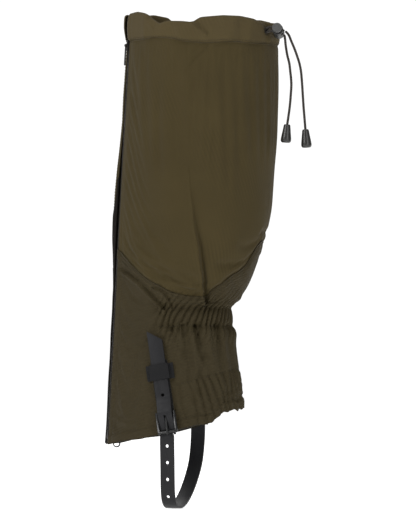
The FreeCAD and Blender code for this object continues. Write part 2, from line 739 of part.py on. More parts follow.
# ---- far-side anchor, in a frame on the sleeve: local X outward, local Z up ----
def far_frame():
    half_width, half_depth, centre = section_at(FAR_END.z)
    depth = FAR_END.y - centre
    x = -half_width * math.sqrt(1 - (depth / half_depth) ** 2)
    outward = Vec(x / half_width ** 2, depth / half_depth ** 2, 0.0).normalize()
    outward = (outward + Vec(0, 0, 0.075)).normalize()
    return frame_from(Vec(x, FAR_END.y, FAR_END.z), outward,
                      square_to(Vec(0, 0, 1), outward))


FAR = far_frame()


def make_patch():
    raw = box("patch_raw", (DIM["patch_thick"], 22.0, 30.0), (0.35, -11.0, -8.0), FAR,
              Length="Dimensions.patch_thick")
    return cut("patch_solid", raw, cylinder("patch_hole", 2.1, 12, (-6, 0, 0), (1, 0, 0), FAR))


def make_rivet():
    """One turned rivet: inner head, collar under the strap, domed outer head."""
    strap_x = FAR.inverse().multVec(FAR_END).x
    clear = DIM["strap_thick"] / 2 + 0.75
    under_head, under_strap = strap_x + clear, strap_x - clear
    shank, head, collar = DIM["rivet_dia"] / 2, DIM["rivet_head"] / 2, 3.4
    # half section (X, radius)
    half = [
        (-2.6, 0), (under_head + 1.7, 0), (under_head + 1.5, 2.0), (under_head + 0.6, 4.2),
        (under_head, head), (under_head, shank), (under_strap, shank), (under_strap, collar),
        (1.45, collar), (1.45, shank), (-1.7, shank), (-1.7, head), (-2.6, head),
    ]
    body = new_body("rivet_body", FAR)
    revolve(body, "rivet_turn", outline_sketch(body, "rivet_half", "XY", half), "H_Axis")
    doc.recompute()
    return body


pieces["anchor_patch"] = make_patch()
pieces["anchor_rivet"] = make_rivet()

# ---- boot-lace hook at the front of the foot hem, on a webbing tab ----
HOOK = moved(ZIP, (9.0, 0.0, 0.0))
BEND_Y, BEND_Z = 7.0, -3.9
BEND_IN = DIM["hook_bend_rad"]
BEND_OUT = BEND_IN + DIM["hook_thick"]
STEM_Y = BEND_Y - BEND_OUT        # front face of the stem
BAR_RADIUS = 0.8
BAR_Y, BAR_Z = STEM_Y + BAR_RADIUS, 3.2
HOOK_RIVET_Z = 12.5


def make_hook():
    """A J-shaped strip hanging from a yoke with a cross bar."""
    body = new_body("hook_body", HOOK)
    sketch = new_sketch(body, "hook_profile", "YZ")
    tip_z = BEND_Z + 2.4

    def line(y0, z0, y1, z1):
        return Part.LineSegment(Vec(y0, z0, 0), Vec(y1, z1, 0))

    def half_turn(radius):
        bend = Part.Circle(Vec(BEND_Y, BEND_Z, 0), Vec(0, 0, 1), radius)
        return Part.ArcOfCircle(bend, math.pi, 2 * math.pi)

    sketch.addGeometry([
        line(STEM_Y, 0.0, STEM_Y, BEND_Z),
        half_turn(BEND_OUT),
        line(BEND_Y + BEND_OUT, BEND_Z, BEND_Y + BEND_OUT, tip_z),
        line(BEND_Y + BEND_OUT, tip_z, BEND_Y + BEND_IN, tip_z),
        line(BEND_Y + BEND_IN, tip_z, BEND_Y + BEND_IN, BEND_Z),
        half_turn(BEND_IN),
        line(BEND_Y - BEND_IN, BEND_Z, BEND_Y - BEND_IN, 0.0),
        line(BEND_Y - BEND_IN, 0.0, STEM_Y, 0.0),
    ], False)
    pad(body, "hook_pad", sketch, DIM["hook_wide"], "Dimensions.hook_wide", midplane=True)
    yoke = [(-4.6, -1.2), (4.6, -1.2), (4.6, 4.0), (3.3, 4.0),
            (3.3, 0.0), (-3.3, 0.0), (-3.3, 4.0), (-4.6, 4.0)]
    sketch = outline_sketch(body, "hook_yoke", "XZ", yoke, -STEM_Y)
    pad(body, "yoke_pad", sketch, DIM["hook_thick"], "Dimensions.hook_thick", reverse=True)
    doc.recompute()
    bar = cylinder("hook_bar", BAR_RADIUS, 9.2, (-4.6, BAR_Y, BAR_Z), (1, 0, 0), HOOK)
    return fuse("hook_solid", [body, bar])


def make_hook_tab():
    """Webbing round the hook's bar, with a flat running up from it."""
    wide = 5.6
    body = new_body("hook_tab_body", HOOK)
    sketch = circle_sketch(body, "hook_tab_ring", "YZ", (BAR_Y, BAR_Z),
                           [BAR_RADIUS + 1.0, 0.95])
    pad(body, "hook_tab_ring_pad", sketch, wide, midplane=True)
    flat = [(BAR_Y - 3.4, 17.0), (BAR_Y - 2.1, 17.0), (BAR_Y - 2.1, 8.4),
            (BAR_Y + 1.1, 4.5), (BAR_Y - 1.0, 4.5), (BAR_Y - 3.4, 7.6)]
    sketch = outline_sketch(body, "hook_tab_flat", "YZ", flat)
    pad(body, "hook_tab_flat_pad", sketch, wide, midplane=True)
    sketch = circle_sketch(body, "hook_tab_hole", "XZ", (0.0, HOOK_RIVET_Z), [1.3])
    pocket(body, "hook_tab_hole_cut", sketch)
    doc.recompute()
    return body


def make_hook_rivet():
    shank = cylinder("hook_rivet_shank", 1.2, 4.0, (0, BAR_Y - 5.3, HOOK_RIVET_Z),
                     (0, 1, 0), HOOK)
    head = cylinder("hook_rivet_head", 2.2, 0.8, (0, BAR_Y - 2.0, HOOK_RIVET_Z),
                    (0, 1, 0), HOOK)
    return fuse("hook_rivet_solid", [shank, head])


pieces["lace_hook"] = make_hook()
pieces["hook_tab"] = make_hook_tab()
pieces["hook_rivet"] = make_hook_rivet()

# ---- cord lock: barrel, sprung plunger and spring; local Z out along the
# plunger, local X along the cords ----
LOCK_CENTRE = Vec(30.0, 110.5, 477.5)
LOCK_OUT = Vec(0.97, 0.104, 0.22).normalize()
LOCK_ALONG = square_to(Vec(0, 1, -0.3), LOCK_OUT)
LOCK_ACROSS = LOCK_OUT.cross(LOCK_ALONG)
LOCK = frame_from(LOCK_CENTRE, LOCK_ALONG, LOCK_OUT)


def make_lock():
    body = new_body("lock_body", LOCK)
    sketch = circle_sketch(body, "lock_outline", "XY", (0, 0), [DIM["lock_dia"] / 2], -11.2,
                           "Dimensions.lock_dia / 2")
    pad(body, "lock_pad", sketch, 17.2)
    doc.recompute()
    sketch = circle_sketch(body, "lock_bore_outline", "XY", (0, 0), [DIM["lock_bore"] / 2],
                           6.0, "Dimensions.lock_bore / 2")
    pocket(body, "lock_bore_cut", sketch, 16.0, midplane=False)
    window = [(-3.5, -1.7), (3.5, -1.7), (3.5, 1.7), (-3.5, 1.7)]
    pocket(body, "lock_cross_cut", outline_sketch(body, "lock_cross", "YZ", window))
    doc.recompute()
    return body


def make_plunger():
    body = new_body("plunger_body", LOCK)
    sketch = circle_sketch(body, "plunger_shaft", "XY", (0, 0), [DIM["plunger_dia"] / 2],
                           -3.2, "Dimensions.plunger_dia / 2")
    pad(body, "plunger_pad", sketch, 14.0)
    sketch = circle_sketch(body, "plunger_head", "XY", (0, 0), [4.8], 10.3)
    pad(body, "plunger_head_pad", sketch, 2.6)
    doc.recompute()
    slot = [(-3.3, -1.6), (3.3, -1.6), (3.3, 5.7), (-3.3, 5.7)]
    pocket(body, "plunger_slot_cut", outline_sketch(body, "plunger_slot", "YZ", slot))
    doc.recompute()
    return body


def make_spring():
    """Helical spring behind the plunger: fine wire drawn with eight flats."""
    rise, pitch, coil_radius, foot = 5.6, 1.55, 2.9, -9.5
    turns, steps, flats = rise / pitch, 44, 8
    rings = []
    for k in range(steps + 1):
        turn = 2 * math.pi * turns * k / steps
        radial = LOCK_ALONG * math.cos(turn) + LOCK_ACROSS * math.sin(turn)
        round_axis = LOCK_ACROSS * math.cos(turn) - LOCK_ALONG * math.sin(turn)
        tangent = (round_axis * (coil_radius * 2 * math.pi * turns) + LOCK_OUT * rise).normalize()
        side = tangent.cross(radial)
        middle = LOCK_CENTRE + radial * coil_radius + LOCK_OUT * (foot + rise * k / steps)
        corners = [math.pi * (q + 0.5) / 4 for q in range(flats)]
        rings.append([middle + (radial * math.cos(a) + side * math.sin(a))
                      * (DIM["spring_wire"] / 2) for a in corners])

    def facet(*points):
        return Part.Face(Part.makePolygon(list(points) + [points[0]]))

    facets = [facet(*rings[0]), facet(*rings[-1])]
    for ring, after in zip(rings, rings[1:]):
        for q in range(flats):
            w = (q + 1) % flats
            facets.append(facet(ring[q], after[q], after[w]))
            facets.append(facet(ring[q], after[w], ring[w]))
    return fixed_solid("spring_solid", facets)


pieces["cord_lock_body"] = make_lock()
pieces["cord_lock_plunger"] = make_plunger()
pieces["cord_lock_spring"] = make_spring()

# ---- drawcord: two runs from the zip edges through the lock, then two free
# tails. Each is a round cord swept along a spatial curve ----
CORD_RADIUS = DIM["cord_dia"] / 2
CORD_OFFSET = 1.8  # each cord's distance from the lock's middle
FINE_STEP, COARSE_STEP = 2.5, 3.8

# tails (Y, Z), each in a plane of constant X below its first point
FRONT_TAIL_X, REAR_TAIL_X = 30.2, 29.4
FRONT_TAIL = [
    (117.5, 470.2), (118.2, 463.5), (119.9, 453.0), (121.9, 445.0), (122.9, 437.0),
    (124.0, 425.0), (123.4, 413.0), (122.3, 401.0), (120.9, 391.0), (119.7, 383.0),
    (119.2, 377.0),
]
REAR_TAIL = [
    (120.9, 473.6), (124.0, 466.5), (127.0, 459.5), (129.4, 453.0), (132.0, 445.0),
    (133.6, 437.0), (134.7, 425.0), (135.5, 413.0), (136.3, 401.0), (137.3, 389.0),
    (138.2, 378.0), (138.6, 372.0),
]


def mix(start, end, knot_start, knot_end, knot):
    span = knot_end - knot_start
    return start * ((knot_end - knot) / span) + end * ((knot - knot_start) / span)


def smooth_curve(points):
    """Fine points on a centripetal Catmull-Rom curve, 24 to each span."""
    fine = []
    padded = [points[0] * 2 - points[1]] + points + [points[-1] * 2 - points[-2]]
    for i in range(len(points) - 1):
        # the first span repeats its own start in place of a point before it
        before = padded[i] if i else padded[0]
        start, end, after = padded[i + 1:i + 4]
        knot1 = max(1e-6, (start - before).Length ** 0.5)
        knot2 = knot1 + max(1e-6, (end - start).Length ** 0.5)
        knot3 = knot2 + max(1e-6, (after - end).Length ** 0.5)
        for j in range(24):
            knot = knot1 + (knot2 - knot1) * j / 24.0
            first = mix(before, start, 0.0, knot1, knot)
            second = mix(start, end, knot1, knot2, knot)
            third = mix(end, after, knot2, knot3, knot)
            early = mix(first, second, 0.0, knot2, knot)
            late = mix(second, third, knot1, knot3, knot)
            fine.append(mix(early, late, knot1, knot2, knot))
    fine.append(points[-1])
    return fine


def resample(points, step):
    """Even stations along a smooth curve through the points."""
    fine = smooth_curve(points)
    run = [0.0]
    for p, q in zip(fine, fine[1:]):
        run.append(run[-1] + (q - p).Length)
    count = max(3, int(round(run[-1] / step)))
    stations, k = [], 0
    for i in range(count + 1):
        distance = run[-1] * i / count
        while k < len(run) - 2 and run[k + 1] < distance:
            k += 1
        t = (distance - run[k]) / max(1e-9, run[k + 1] - run[k])
        stations.append(fine[k] + (fine[k + 1] - fine[k]) * t)
    return stations


def cord(name, points, step=FINE_STEP, smoothings=2):
    """A round cord: rings carried along the curve without twist, joined by
    one smooth tube and closed with two flat ends."""
    points = resample(points, step)
    for _ in range(smoothings):
        middle = [(p + q * 2 + r) * 0.25 for p, q, r in zip(points, points[1:], points[2:])]
        points = [points[0]] + middle + [points[-1]]
    side = None
    rings = []
    for i, point in enumerate(points):
        ahead = (points[min(i + 1, len(points) - 1)] - points[max(i - 1, 0)]).normalize()
        if side is None:
            side = Vec(0, 0, 1) if abs(ahead.z) < 0.9 else Vec(1, 0, 0)
        side = square_to(side, ahead)
        other = ahead.cross(side)
        rings.append([point + side * (CORD_RADIUS * math.cos(math.pi * k / 8))
                      + other * (CORD_RADIUS * math.sin(math.pi * k / 8)) for k in range(17)])
    tube = Part.BSplineSurface()
    tube.interpolate(rings)
    faces = [tube.toShape()]
    for end in tube.bounds()[:2]:
        faces.append(Part.Face(Part.Wire([tube.uIso(end).toShape()])))
    return fixed_solid(name, faces)


def exit_point(along, outward, rise):
    return EXIT + EXIT_ALONG * along + EXIT_OUT * outward + Vec(0, 0, rise)


def lock_point(along, across):
    return LOCK_CENTRE + LOCK_ALONG * along + LOCK_ACROSS * across


def through_lock(across, end):
    return [lock_point(along, across) for along in (-7.4, -6.4, -5.4, -2.6, 0.0, end)]


def bell(name, tail):
    """A moulded bell end, turned round the cord's last stretch."""
    length, wide, bore, overlap = DIM["bell_len"], DIM["bell_low_dia"] / 2, 1.42, 7.2
    axis = (tail[-2] - tail[-1]).normalize()
    foot = tail[-1] - axis * (length - overlap)
    body = new_body(name, frame_from(foot, square_to(Vec(1, 0, 0), axis), axis))
    # half section (radius, Z)
    half = [
        (0, 0), (3.4, 0.0), (4.7, 0.9), (wide, 2.6), (5.1, 5.0), (4.3, 10.5),
        (3.45, 16.5), (3.0, length), (bore, length), (bore, 10.9), (0, 10.9),
    ]
    revolve(body, name + "_turn", outline_sketch(body, name + "_half", "XZ", half), "V_Axis")
    return body


outer_run = [ring_point(degrees) for degrees in range(32, 138, 7)] + [ring_point(144, 478.5)]
outer_run += [exit_point(2.2, 0.4, 1.5), exit_point(0.6, 3.2, 2.2)]
outer_run += through_lock(CORD_OFFSET, 5.7)
inner_run = [ring_point(degrees) for degrees in range(2, -186, -8)] + [ring_point(-193, 477.6)]
inner_run += [exit_point(-2.6, 0.5, -1.5), exit_point(-0.2, 3.4, -1.6)]
inner_run += through_lock(-CORD_OFFSET, 5.3)
rear_tail = [lock_point(7.0, CORD_OFFSET)] + [Vec(REAR_TAIL_X, y, z) for y, z in REAR_TAIL]
front_tail = [lock_point(7.0, -CORD_OFFSET)] + [Vec(FRONT_TAIL_X, y, z) for y, z in FRONT_TAIL]

pieces["drawcord_outer"] = cord("cord_run_a", outer_run)
pieces["drawcord_inner"] = cord("cord_run_b", inner_run, COARSE_STEP, smoothings=1)
pieces["cord_tail_rear"] = cord("cord_tail_hi", rear_tail)
pieces["cord_tail_front"] = cord("cord_tail_lo", front_tail)
pieces["cord_end_rear"] = bell("bell_hi", rear_tail)
pieces["cord_end_front"] = bell("bell_lo", front_tail)
doc.recompute()

# ---- labels, checks and export ----
for node, piece in pieces.items():
    piece.Label = node
doc.recompute()

for item in doc.Objects:
    if "Invalid" in item.State or "Error" in item.State:
        raise RuntimeError("%s failed: %s" % (item.Name, item.State))
for node, piece in pieces.items():
    shape = piece.Shape
    if shape.isNull() or not shape.isValid() or shape.Volume <= 0:
        raise RuntimeError("%s has no valid solid" % node)
    if len(shape.Solids) != (2 if node == "zip_top_stops" else 1):
        raise RuntimeError("%s has %d solids" % (node, len(shape.Solids)))

os.makedirs("parts", exist_ok=True)
for node, piece in pieces.items():
    piece.Shape.exportStep("parts/%s.step" % node)
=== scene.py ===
import bmesh
import bpy
import math
from functools import lru_cache

import numpy as np
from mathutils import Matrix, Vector


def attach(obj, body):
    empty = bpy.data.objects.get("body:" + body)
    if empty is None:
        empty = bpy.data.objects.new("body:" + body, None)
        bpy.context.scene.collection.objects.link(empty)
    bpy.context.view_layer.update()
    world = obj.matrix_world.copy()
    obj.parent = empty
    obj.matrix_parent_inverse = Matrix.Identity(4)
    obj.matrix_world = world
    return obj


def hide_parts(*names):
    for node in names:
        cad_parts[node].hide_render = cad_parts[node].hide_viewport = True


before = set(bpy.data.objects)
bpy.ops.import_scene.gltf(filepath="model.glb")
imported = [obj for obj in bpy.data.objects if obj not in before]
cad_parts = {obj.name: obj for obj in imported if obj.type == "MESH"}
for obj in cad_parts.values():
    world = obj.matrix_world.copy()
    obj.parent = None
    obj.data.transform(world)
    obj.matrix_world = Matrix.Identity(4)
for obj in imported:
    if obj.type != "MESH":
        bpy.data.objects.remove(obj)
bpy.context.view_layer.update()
MM = 0.001
TAU = 2 * math.pi


# ---------------------------------------------------------------- small helpers
def unit(vector):
    vector = np.array(vector, float)
    return vector / np.linalg.norm(vector)


def smooth(x):
    """Eased step from 0 to 1."""
    x = np.clip(x, 0, 1)
    return x * x * (3 - 2 * x)


def hill(distance, width):
    """1 at no distance, falling away on both sides over the width."""
    return np.exp(-(distance / width) ** 2)


def bisect(low, high, is_below):
    """The place between two arrays where is_below turns false."""
    for _ in range(34):
        middle = (low + high) / 2
        below = is_below(middle)
        low, high = np.where(below, middle, low), np.where(below, high, middle)
    return (low + high) / 2


def value_noise(x, y, seed):
    """Smooth noise between -1 and 1, repeating every 64 cells."""
    table = np.random.RandomState(seed).rand(64, 64) * 2 - 1
    col, row = np.floor(x).astype(int), np.floor(y).astype(int)
    right, up = smooth(x - col), smooth(y - row)

    def corner(i, j):
        return table[(col + i) % 64, (row + j) % 64]
    lower = corner(0, 0) * (1 - right) + corner(1, 0) * right
    upper = corner(0, 1) * (1 - right) + corner(1, 1) * right
    return lower * (1 - up) + upper * up


def run_length(points):
    """Distance along a polyline at each of its points."""
    return np.concatenate([[0], np.cumsum(np.linalg.norm(np.diff(points, axis=0), axis=1))])


def sample(stations, run, rows):
    """Rows of three values read at stations along a run."""
    return np.stack([np.interp(stations, run, rows[:, k]) for k in range(3)], 1)


# ---------------------------------------------------------------- leg surface
# nominal radii that turn an angle into a length round the cloth
LEG_RADIUS, ANKLE_RADIUS, HEEL_RADIUS, UV_RADIUS = 60.0, 52.0, 58.0, 62.0
# oval sections of the leg: height, half width in x, half depth in y, centre in y
SECTIONS = np.array([
    (50, 51.6, 68.2, -2.9), (75, 50.1, 68.3, -1.7), (100, 48.2, 68.4, -0.65),
    (125, 46.3, 67.3, -0.6), (150, 44.4, 65.0, -1.8), (175, 42.6, 63.2, -2.5),
    (189, 42.2, 60.5, -4.4), (200, 42.3, 60.4, -3.9), (213, 43.8, 64.2, 0.6),
    (229, 47.5, 68.7, 6.3), (253, 53.0, 72.3, 11.7), (277, 57.0, 75.0, 16.1),
    (301, 61.0, 76.7, 19.4), (325, 64.0, 76.9, 21.1), (349, 66.0, 77.1, 22.9),
    (373, 67.5, 77.9, 25.1), (397, 67.5, 77.3, 25.7), (421, 67.0, 77.1, 26.9),
    (445, 66.5, 76.5, 27.5), (469, 66.0, 75.9, 28.1), (505, 65.4, 75.0, 29.2),
])


def section_at(z):
    """Half width, half depth and centre on a cubic curve through the sections."""
    last = len(SECTIONS) - 1
    i = next(k for k in range(last) if z <= SECTIONS[k + 1][0])
    low, high = SECTIONS[i], SECTIONS[i + 1]
    span = high[0] - low[0]
    slope = (high - low) / span
    start = end = slope
    if i:
        before = SECTIONS[i - 1]
        start = ((low - before) / (low[0] - before[0]) + slope) / 2
    if i + 1 < last:
        after = SECTIONS[i + 2]
        end = ((after - high) / (after[0] - high[0]) + slope) / 2
    t = (z - low[0]) / span
    curve_at = ((2 * t ** 3 - 3 * t * t + 1) * low + (t ** 3 - 2 * t * t + t) * span * start
                + (3 * t * t - 2 * t ** 3) * high + (t ** 3 - t * t) * span * end)
    return curve_at[1:]


SECTION_HEIGHTS = np.linspace(50, 505, 911)
SECTION_TABLE = np.array([section_at(z) for z in SECTION_HEIGHTS])


def leg_section(z):
    z = np.clip(z, 50, 505)
    return [np.interp(z, SECTION_HEIGHTS, SECTION_TABLE[:, k]) for k in range(3)]


# frame of the zip: up its length, out of the leg, into the leg, and across to the outer side
ZIP_FOOT, ZIP_HEAD = np.array([11.5, -66.6, 69.0]), np.array([19.3, -42.3, 469.0])
ZIP_UP = unit(ZIP_HEAD - ZIP_FOOT)
ZIP_OUT = np.array([0.31, -0.951, 0.0])
ZIP_OUT = unit(ZIP_OUT - ZIP_UP * ZIP_OUT.dot(ZIP_UP))
ZIP_IN = -ZIP_OUT
ZIP_ACROSS = np.cross(ZIP_IN, ZIP_UP)
ZIP_EDGE = 6.5       # cloth edge from the zip's middle line
ZIP_SKIN = -1.5      # the skin beside the zip lies at least this far out of the zip plane


def zip_place(across, inward, up):
    return ZIP_FOOT + ZIP_ACROSS * across + ZIP_IN * inward + ZIP_UP * up


def skin(angle, z):
    """The leg surface, pushed out where it would fall behind the zip."""
    wide, deep, centre = leg_section(z)
    points = np.stack([wide * np.sin(angle), centre - deep * np.cos(angle), z + 0 * angle], -1)
    from_zip = points - ZIP_FOOT
    across, inward = from_zip @ ZIP_ACROSS, from_zip @ ZIP_IN
    weight = np.clip((15.0 - np.abs(across)) / 4.0, 0, 1)
    behind = (np.abs(across) < 15.0) & (inward < 20.0) & (inward > ZIP_SKIN)
    weight = np.where(behind, weight, 0)
    return points + ZIP_IN * ((ZIP_SKIN - inward) * weight)[..., None]


def radial(angle, z):
    """Outward direction of the oval section."""
    wide, deep, _ = leg_section(z)
    out = np.stack([np.sin(angle) / wide, -np.cos(angle) / deep, 0 * angle], -1)
    return out / np.linalg.norm(out, axis=-1, keepdims=True)


@lru_cache(maxsize=None)
def zip_table(offset):
    heights = np.linspace(40, 510, 1400)
    low = np.full(heights.shape, math.radians(-60.0))
    high = np.full(heights.shape, math.radians(80.0))

    def is_below(angle):
        return ((skin(angle, heights) - ZIP_FOOT) @ ZIP_ACROSS) < offset
    return heights, bisect(low, high, is_below)


def zip_angle(z, offset):
    """Angle of a line beside the zip, read from a table over height."""
    return np.interp(z, *zip_table(offset))


def wrap_angle(z, part):
    """Angle at a part (0 to 1) of the way round, from the zip's outer edge to its inner edge."""
    first, last = zip_angle(z, ZIP_EDGE), TAU + zip_angle(z, -ZIP_EDGE)
    return first + (last - first) * part


# ---------------------------------------------------------------- outlines
def curve(points, blur=6.0):
    """A height curve over y through the points, with its corners blurred."""
    y, z = np.array(points, float).T
    fine_y = np.linspace(y[0], y[-1], 900)
    fine_z = np.interp(fine_y, y, z)
    kernel = np.exp(-0.5 * (np.arange(-40, 41) / blur) ** 2)
    kernel /= kernel.sum()
    fine_z = np.convolve(np.pad(fine_z, 40, mode="edge"), kernel, "valid")
    return lambda at: np.interp(at, fine_y, fine_z)


# outlines over y: (y, height)
SEAM = curve([
    (-90, 262), (-52.3, 260.3), (-45.3, 253.3), (-33, 240.6), (-20.9, 230.8), (-4.6, 222.4),
    (3.6, 217), (20.6, 213.3), (37.3, 213.3), (52, 226), (64, 235), (75.8, 243), (82.4, 258),
    (92.7, 275.7), (130, 284)], blur=15.0)
HEM = curve([
    (-90, 64), (-64, 64), (-49, 68), (-25, 70.7), (-10, 74.7), (11, 80.3), (32, 85.2),
    (45, 87.2), (52, 96), (61, 98.5), (90, 108)], blur=9.0)
TOP_EDGE = curve([
    (-90, 495.5), (-42.9, 495.5), (-31.4, 497.5), (-18.9, 495.0), (-14, 490), (-4.2, 484.5),
    (2.8, 487.3), (20.4, 486.6), (29.3, 485.6), (38, 490.5), (60.3, 492.4), (76.4, 491.9),
    (87.7, 489.4), (93.2, 486), (130, 486)], blur=5.0)
TOP_STITCH = curve([
    (-90, 468.5), (-38, 468.5), (-24, 468.7), (-10, 471.0), (6, 470.2), (24, 466.3),
    (42, 464.6), (66, 466.0), (90, 464.8), (130, 463.5)], blur=12.0)
HEEL_STITCH = curve([(-90, 118), (0, 122.5), (10, 125), (26, 129.5), (53, 137.5), (90, 146)])


@lru_cache(maxsize=None)
def crossing_table(outline):
    angles = np.linspace(-1.3, TAU + 1.5, 4200)

    def is_below(z):
        x, y, _ = np.moveaxis(skin(angles, z), -1, 0)
        if outline is HEM:      # the hem climbs further on the inner side of the heel
            y = y + 20.0 * smooth((-x - 4) / 30.0) * smooth((y - 8) / 22.0)
        return z < outline(y)
    return angles, bisect(np.full(4200, 51.0), np.full(4200, 504.0), is_below)


def crossing(outline, angle):
    """Height at which an outline crosses each angle, read from a table."""
    return np.interp(angle, *crossing_table(outline))


def seam_height(angle):
    return crossing(SEAM, angle)


def stitch_height(angle):
    return crossing(TOP_STITCH, angle)


def hem_height(angle):
    """The foot hem, a little uneven where the elastic gathers it."""
    arc = (angle - math.pi) * HEEL_RADIUS
    gathered = smooth((1.25 - np.abs(angle - math.pi)) / 0.5)
    uneven = 1.5 * value_noise(arc / 5.0, 2, 61) + 0.8 * np.sin(arc / 2.2)
    return crossing(HEM, angle) + gathered * uneven


def wrap_grid(columns, bands):
    """Angles and heights of a wrap; a band is (low edge, high edge, rows), sharing its edge row."""
    angles, heights = [], []
    for i, (low, high, rows) in enumerate(bands):
        part, rise = np.meshgrid(np.linspace(0, 1, columns), np.linspace(0, 1, rows),
                                 indexing="ij")
        z = 100 + 200 * rise
        for _ in range(5):
            angle = wrap_angle(z, part)
            z = low(angle) + (high(angle) - low(angle)) * rise
        kept = rows if i == len(bands) - 1 else rows - 1
        angles.append(angle[:, :kept])
        heights.append(z[:, :kept])
    return np.concatenate(angles, 1), np.concatenate(heights, 1)


# ---------------------------------------------------------------- folds
SIDE_ORIGIN = (176, 509)        # side-view place of the axis: across, and down from the top


def side_view(points):
    """Place seen from the outer side: across toward the calf, and down."""
    across = SIDE_ORIGIN[0] + 0.978 * points[..., 1] - 0.208 * points[..., 0]
    return across, SIDE_ORIGIN[1] - points[..., 2]


# soft folds of the outer side: side-view line, width, depth at its start and end
FOLDS = [
    ([(186, 112), (187, 156), (192, 184), (198, 226), (203, 256), (205, 300)], 14.0, 1.6, 3.4),
    ([(204, 46), (190, 64), (178, 80), (170, 100)], 6.0, 2.4, 0.6),
    ([(166, 96), (168, 160), (166, 230), (163, 285)], 12.0, -0.9, -1.6),
    ([(226, 170), (228, 215), (224, 262), (218, 290)], 10.0, -0.9, -2.0),
    ([(240, 150), (246, 200), (242, 240)], 7.0, 0.9, 0.5),
    ([(183, 326), (184, 337), (188, 350)], 2.9, 4.6, 0.8),
    ([(196, 326), (199, 338), (203.5, 356)], 3.2, 6.0, 1.4),
    ([(217, 325), (219.5, 342), (223, 366)], 3.4, 6.2, 1.6),
    ([(171, 328), (174, 342), (170, 364)], 3.6, 3.6, 0.8),
    ([(207, 328), (210, 342), (213, 362)], 3.8, -2.4, -1.2),
    ([(190, 328), (193, 340), (196, 352)], 3.4, -2.0, -0.8),
    ([(229, 326), (231, 345), (233, 362)], 3.4, 3.0, 0.8),
    ([(186, 352), (192, 362), (190, 376)], 4.0, 2.0, 1.2),
    ([(176, 350), (178, 364), (174, 380)], 4.0, -1.6, -0.8),
    ([(206, 356), (204, 366), (200, 378)], 3.6, 2.2, 1.0),
    ([(135, 300), (141, 340), (139, 400)], 9.0, 1.5, 0.7),
    ([(120, 300), (124, 350), (122, 420)], 9.0, -1.0, -0.9),
    ([(152, 318), (148, 352), (150, 380)], 6.0, -1.0, -0.3),
    ([(205, 372), (190, 390), (180, 412)], 5.0, 1.4, 0.6),
    ([(226, 374), (216, 390), (205, 404)], 4.0, 1.3, 0.5),
    ([(236, 366), (232, 388), (226, 402)], 3.0, 1.4, 0.4),
]
# creased folds: side-view line, lip width, run-out width, depth at its start and end
CREASES = [
    ([(188, 168), (192, 200), (194.5, 222), (199, 243), (202.5, 275), (205, 304)],
     8.0, 6.0, 0.4, 7.6),
    ([(116, 268), (128, 274), (139, 282), (150, 294), (164, 309)], 3.2, 4.2, 3.6, 4.6),
    ([(154, 288), (163, 292), (168, 299), (171, 307)], 2.6, 3.0, 2.4, 3.4),
    ([(206, 48), (196, 58), (186, 70)], 4.0, 5.0, 1.2, 0.3),
]
# folds of the inner side: angle, height, lean, width, length, depth
INNER_FOLDS = [
    (4.30, 300, 0.05, 15, 110, 3.6), (4.75, 240, -0.1, 9, 60, 2.4),
    (5.3, 330, 0.08, 16, 80, -1.4), (4.0, 380, -0.05, 12, 70, 1.5),
    (4.6, 165, 0.1, 6, 30, 2.4), (4.95, 160, 0.05, 6, 28, 2.2),
    (5.35, 160, -0.1, 7, 34, 2.0), (4.2, 160, 0.1, 6, 28, 2.2),
    (5.55, 120, 0, 9, 44, -1.3), (3.75, 150, 0.0, 6, 26, 2.0),
]
# how far the cloth beside the zip stands forward
FRONT_HEIGHTS = [60, 125, 200, 221, 245, 269, 293, 317, 341, 365, 389, 413, 437, 458, 470, 482, 497]
FRONT_PUSH = [0.4, 0.3, 0.0, 0.3, 2.2, 4.3, 5.2, 5.2, 4.4, 3.0, 1.9, 2.2, 1.8, 1.4, 2.6, 4.2, 4.6]


def line_place(x, y, line):
    """Distance to a polyline, the side it is on (+1 or -1), and the place along it (0 to 1)."""
    nearest = np.full(x.shape, 1e9)
    side = np.ones(x.shape)
    along = np.zeros(x.shape)
    pieces = len(line) - 1
    for i in range(pieces):
        (x0, y0), (x1, y1) = line[i], line[i + 1]
        run_x, run_y = x1 - x0, y1 - y0
        t = ((x - x0) * run_x + (y - y0) * run_y) / (run_x * run_x + run_y * run_y)
        t = np.clip(t, 0, 1)
        distance = np.hypot(x - x0 - t * run_x, y - y0 - t * run_y)
        closer = distance < nearest
        side = np.where(closer, np.sign((x - x0) * run_y - (y - y0) * run_x), side)
        along = np.where(closer, (i + t) / pieces, along)
        nearest = np.minimum(nearest, distance)
    return nearest, side, along


def end_fade(along, fade):
    """Applies a fade only beyond the ends of a line."""
    return np.where((along < 0.001) | (along > 0.999), fade, 1)


def fold(x, y, line, width, start, end):
    distance, _, along = line_place(x, y, line)
    ends = end_fade(along, hill(distance, width * 1.6))
    return 1.25 * (start + (end - start) * along) * hill(distance, width), ends


def crease(x, y, line, lip, run_out, start, end):
    """A raised lip on the negative side of a line and a sharp dip that runs out on the other."""
    distance, side, along = line_place(x, y, line)
    signed = distance * side
    ends = end_fade(along, hill(np.abs(signed), 3.5))
    dip = -np.exp(-np.maximum(signed, 0) / run_out)
    raised = 0.42 * hill(np.minimum(signed, 0), lip)
    blend = smooth((signed + 1.1) / 2.2)
    return (start + (end - start) * along) * ((1 - blend) * raised + blend * dip) * ends


# strap frame: up its length, out of the leg, and across it toward the heel
STRAP_ORIGIN = np.array([49.6, 2.0, 87.5])
STRAP_UP = unit([-0.0787, -0.1623, 0.9836])
STRAP_OUT = np.array([1.0, 0, 0])
STRAP_OUT = unit(STRAP_OUT - STRAP_UP * STRAP_OUT.dot(STRAP_UP))
STRAP_ACROSS = np.cross(STRAP_UP, STRAP_OUT)


def strap_place(out, across, up):
    return STRAP_ORIGIN + STRAP_OUT * out + STRAP_ACROSS * across + STRAP_UP * up


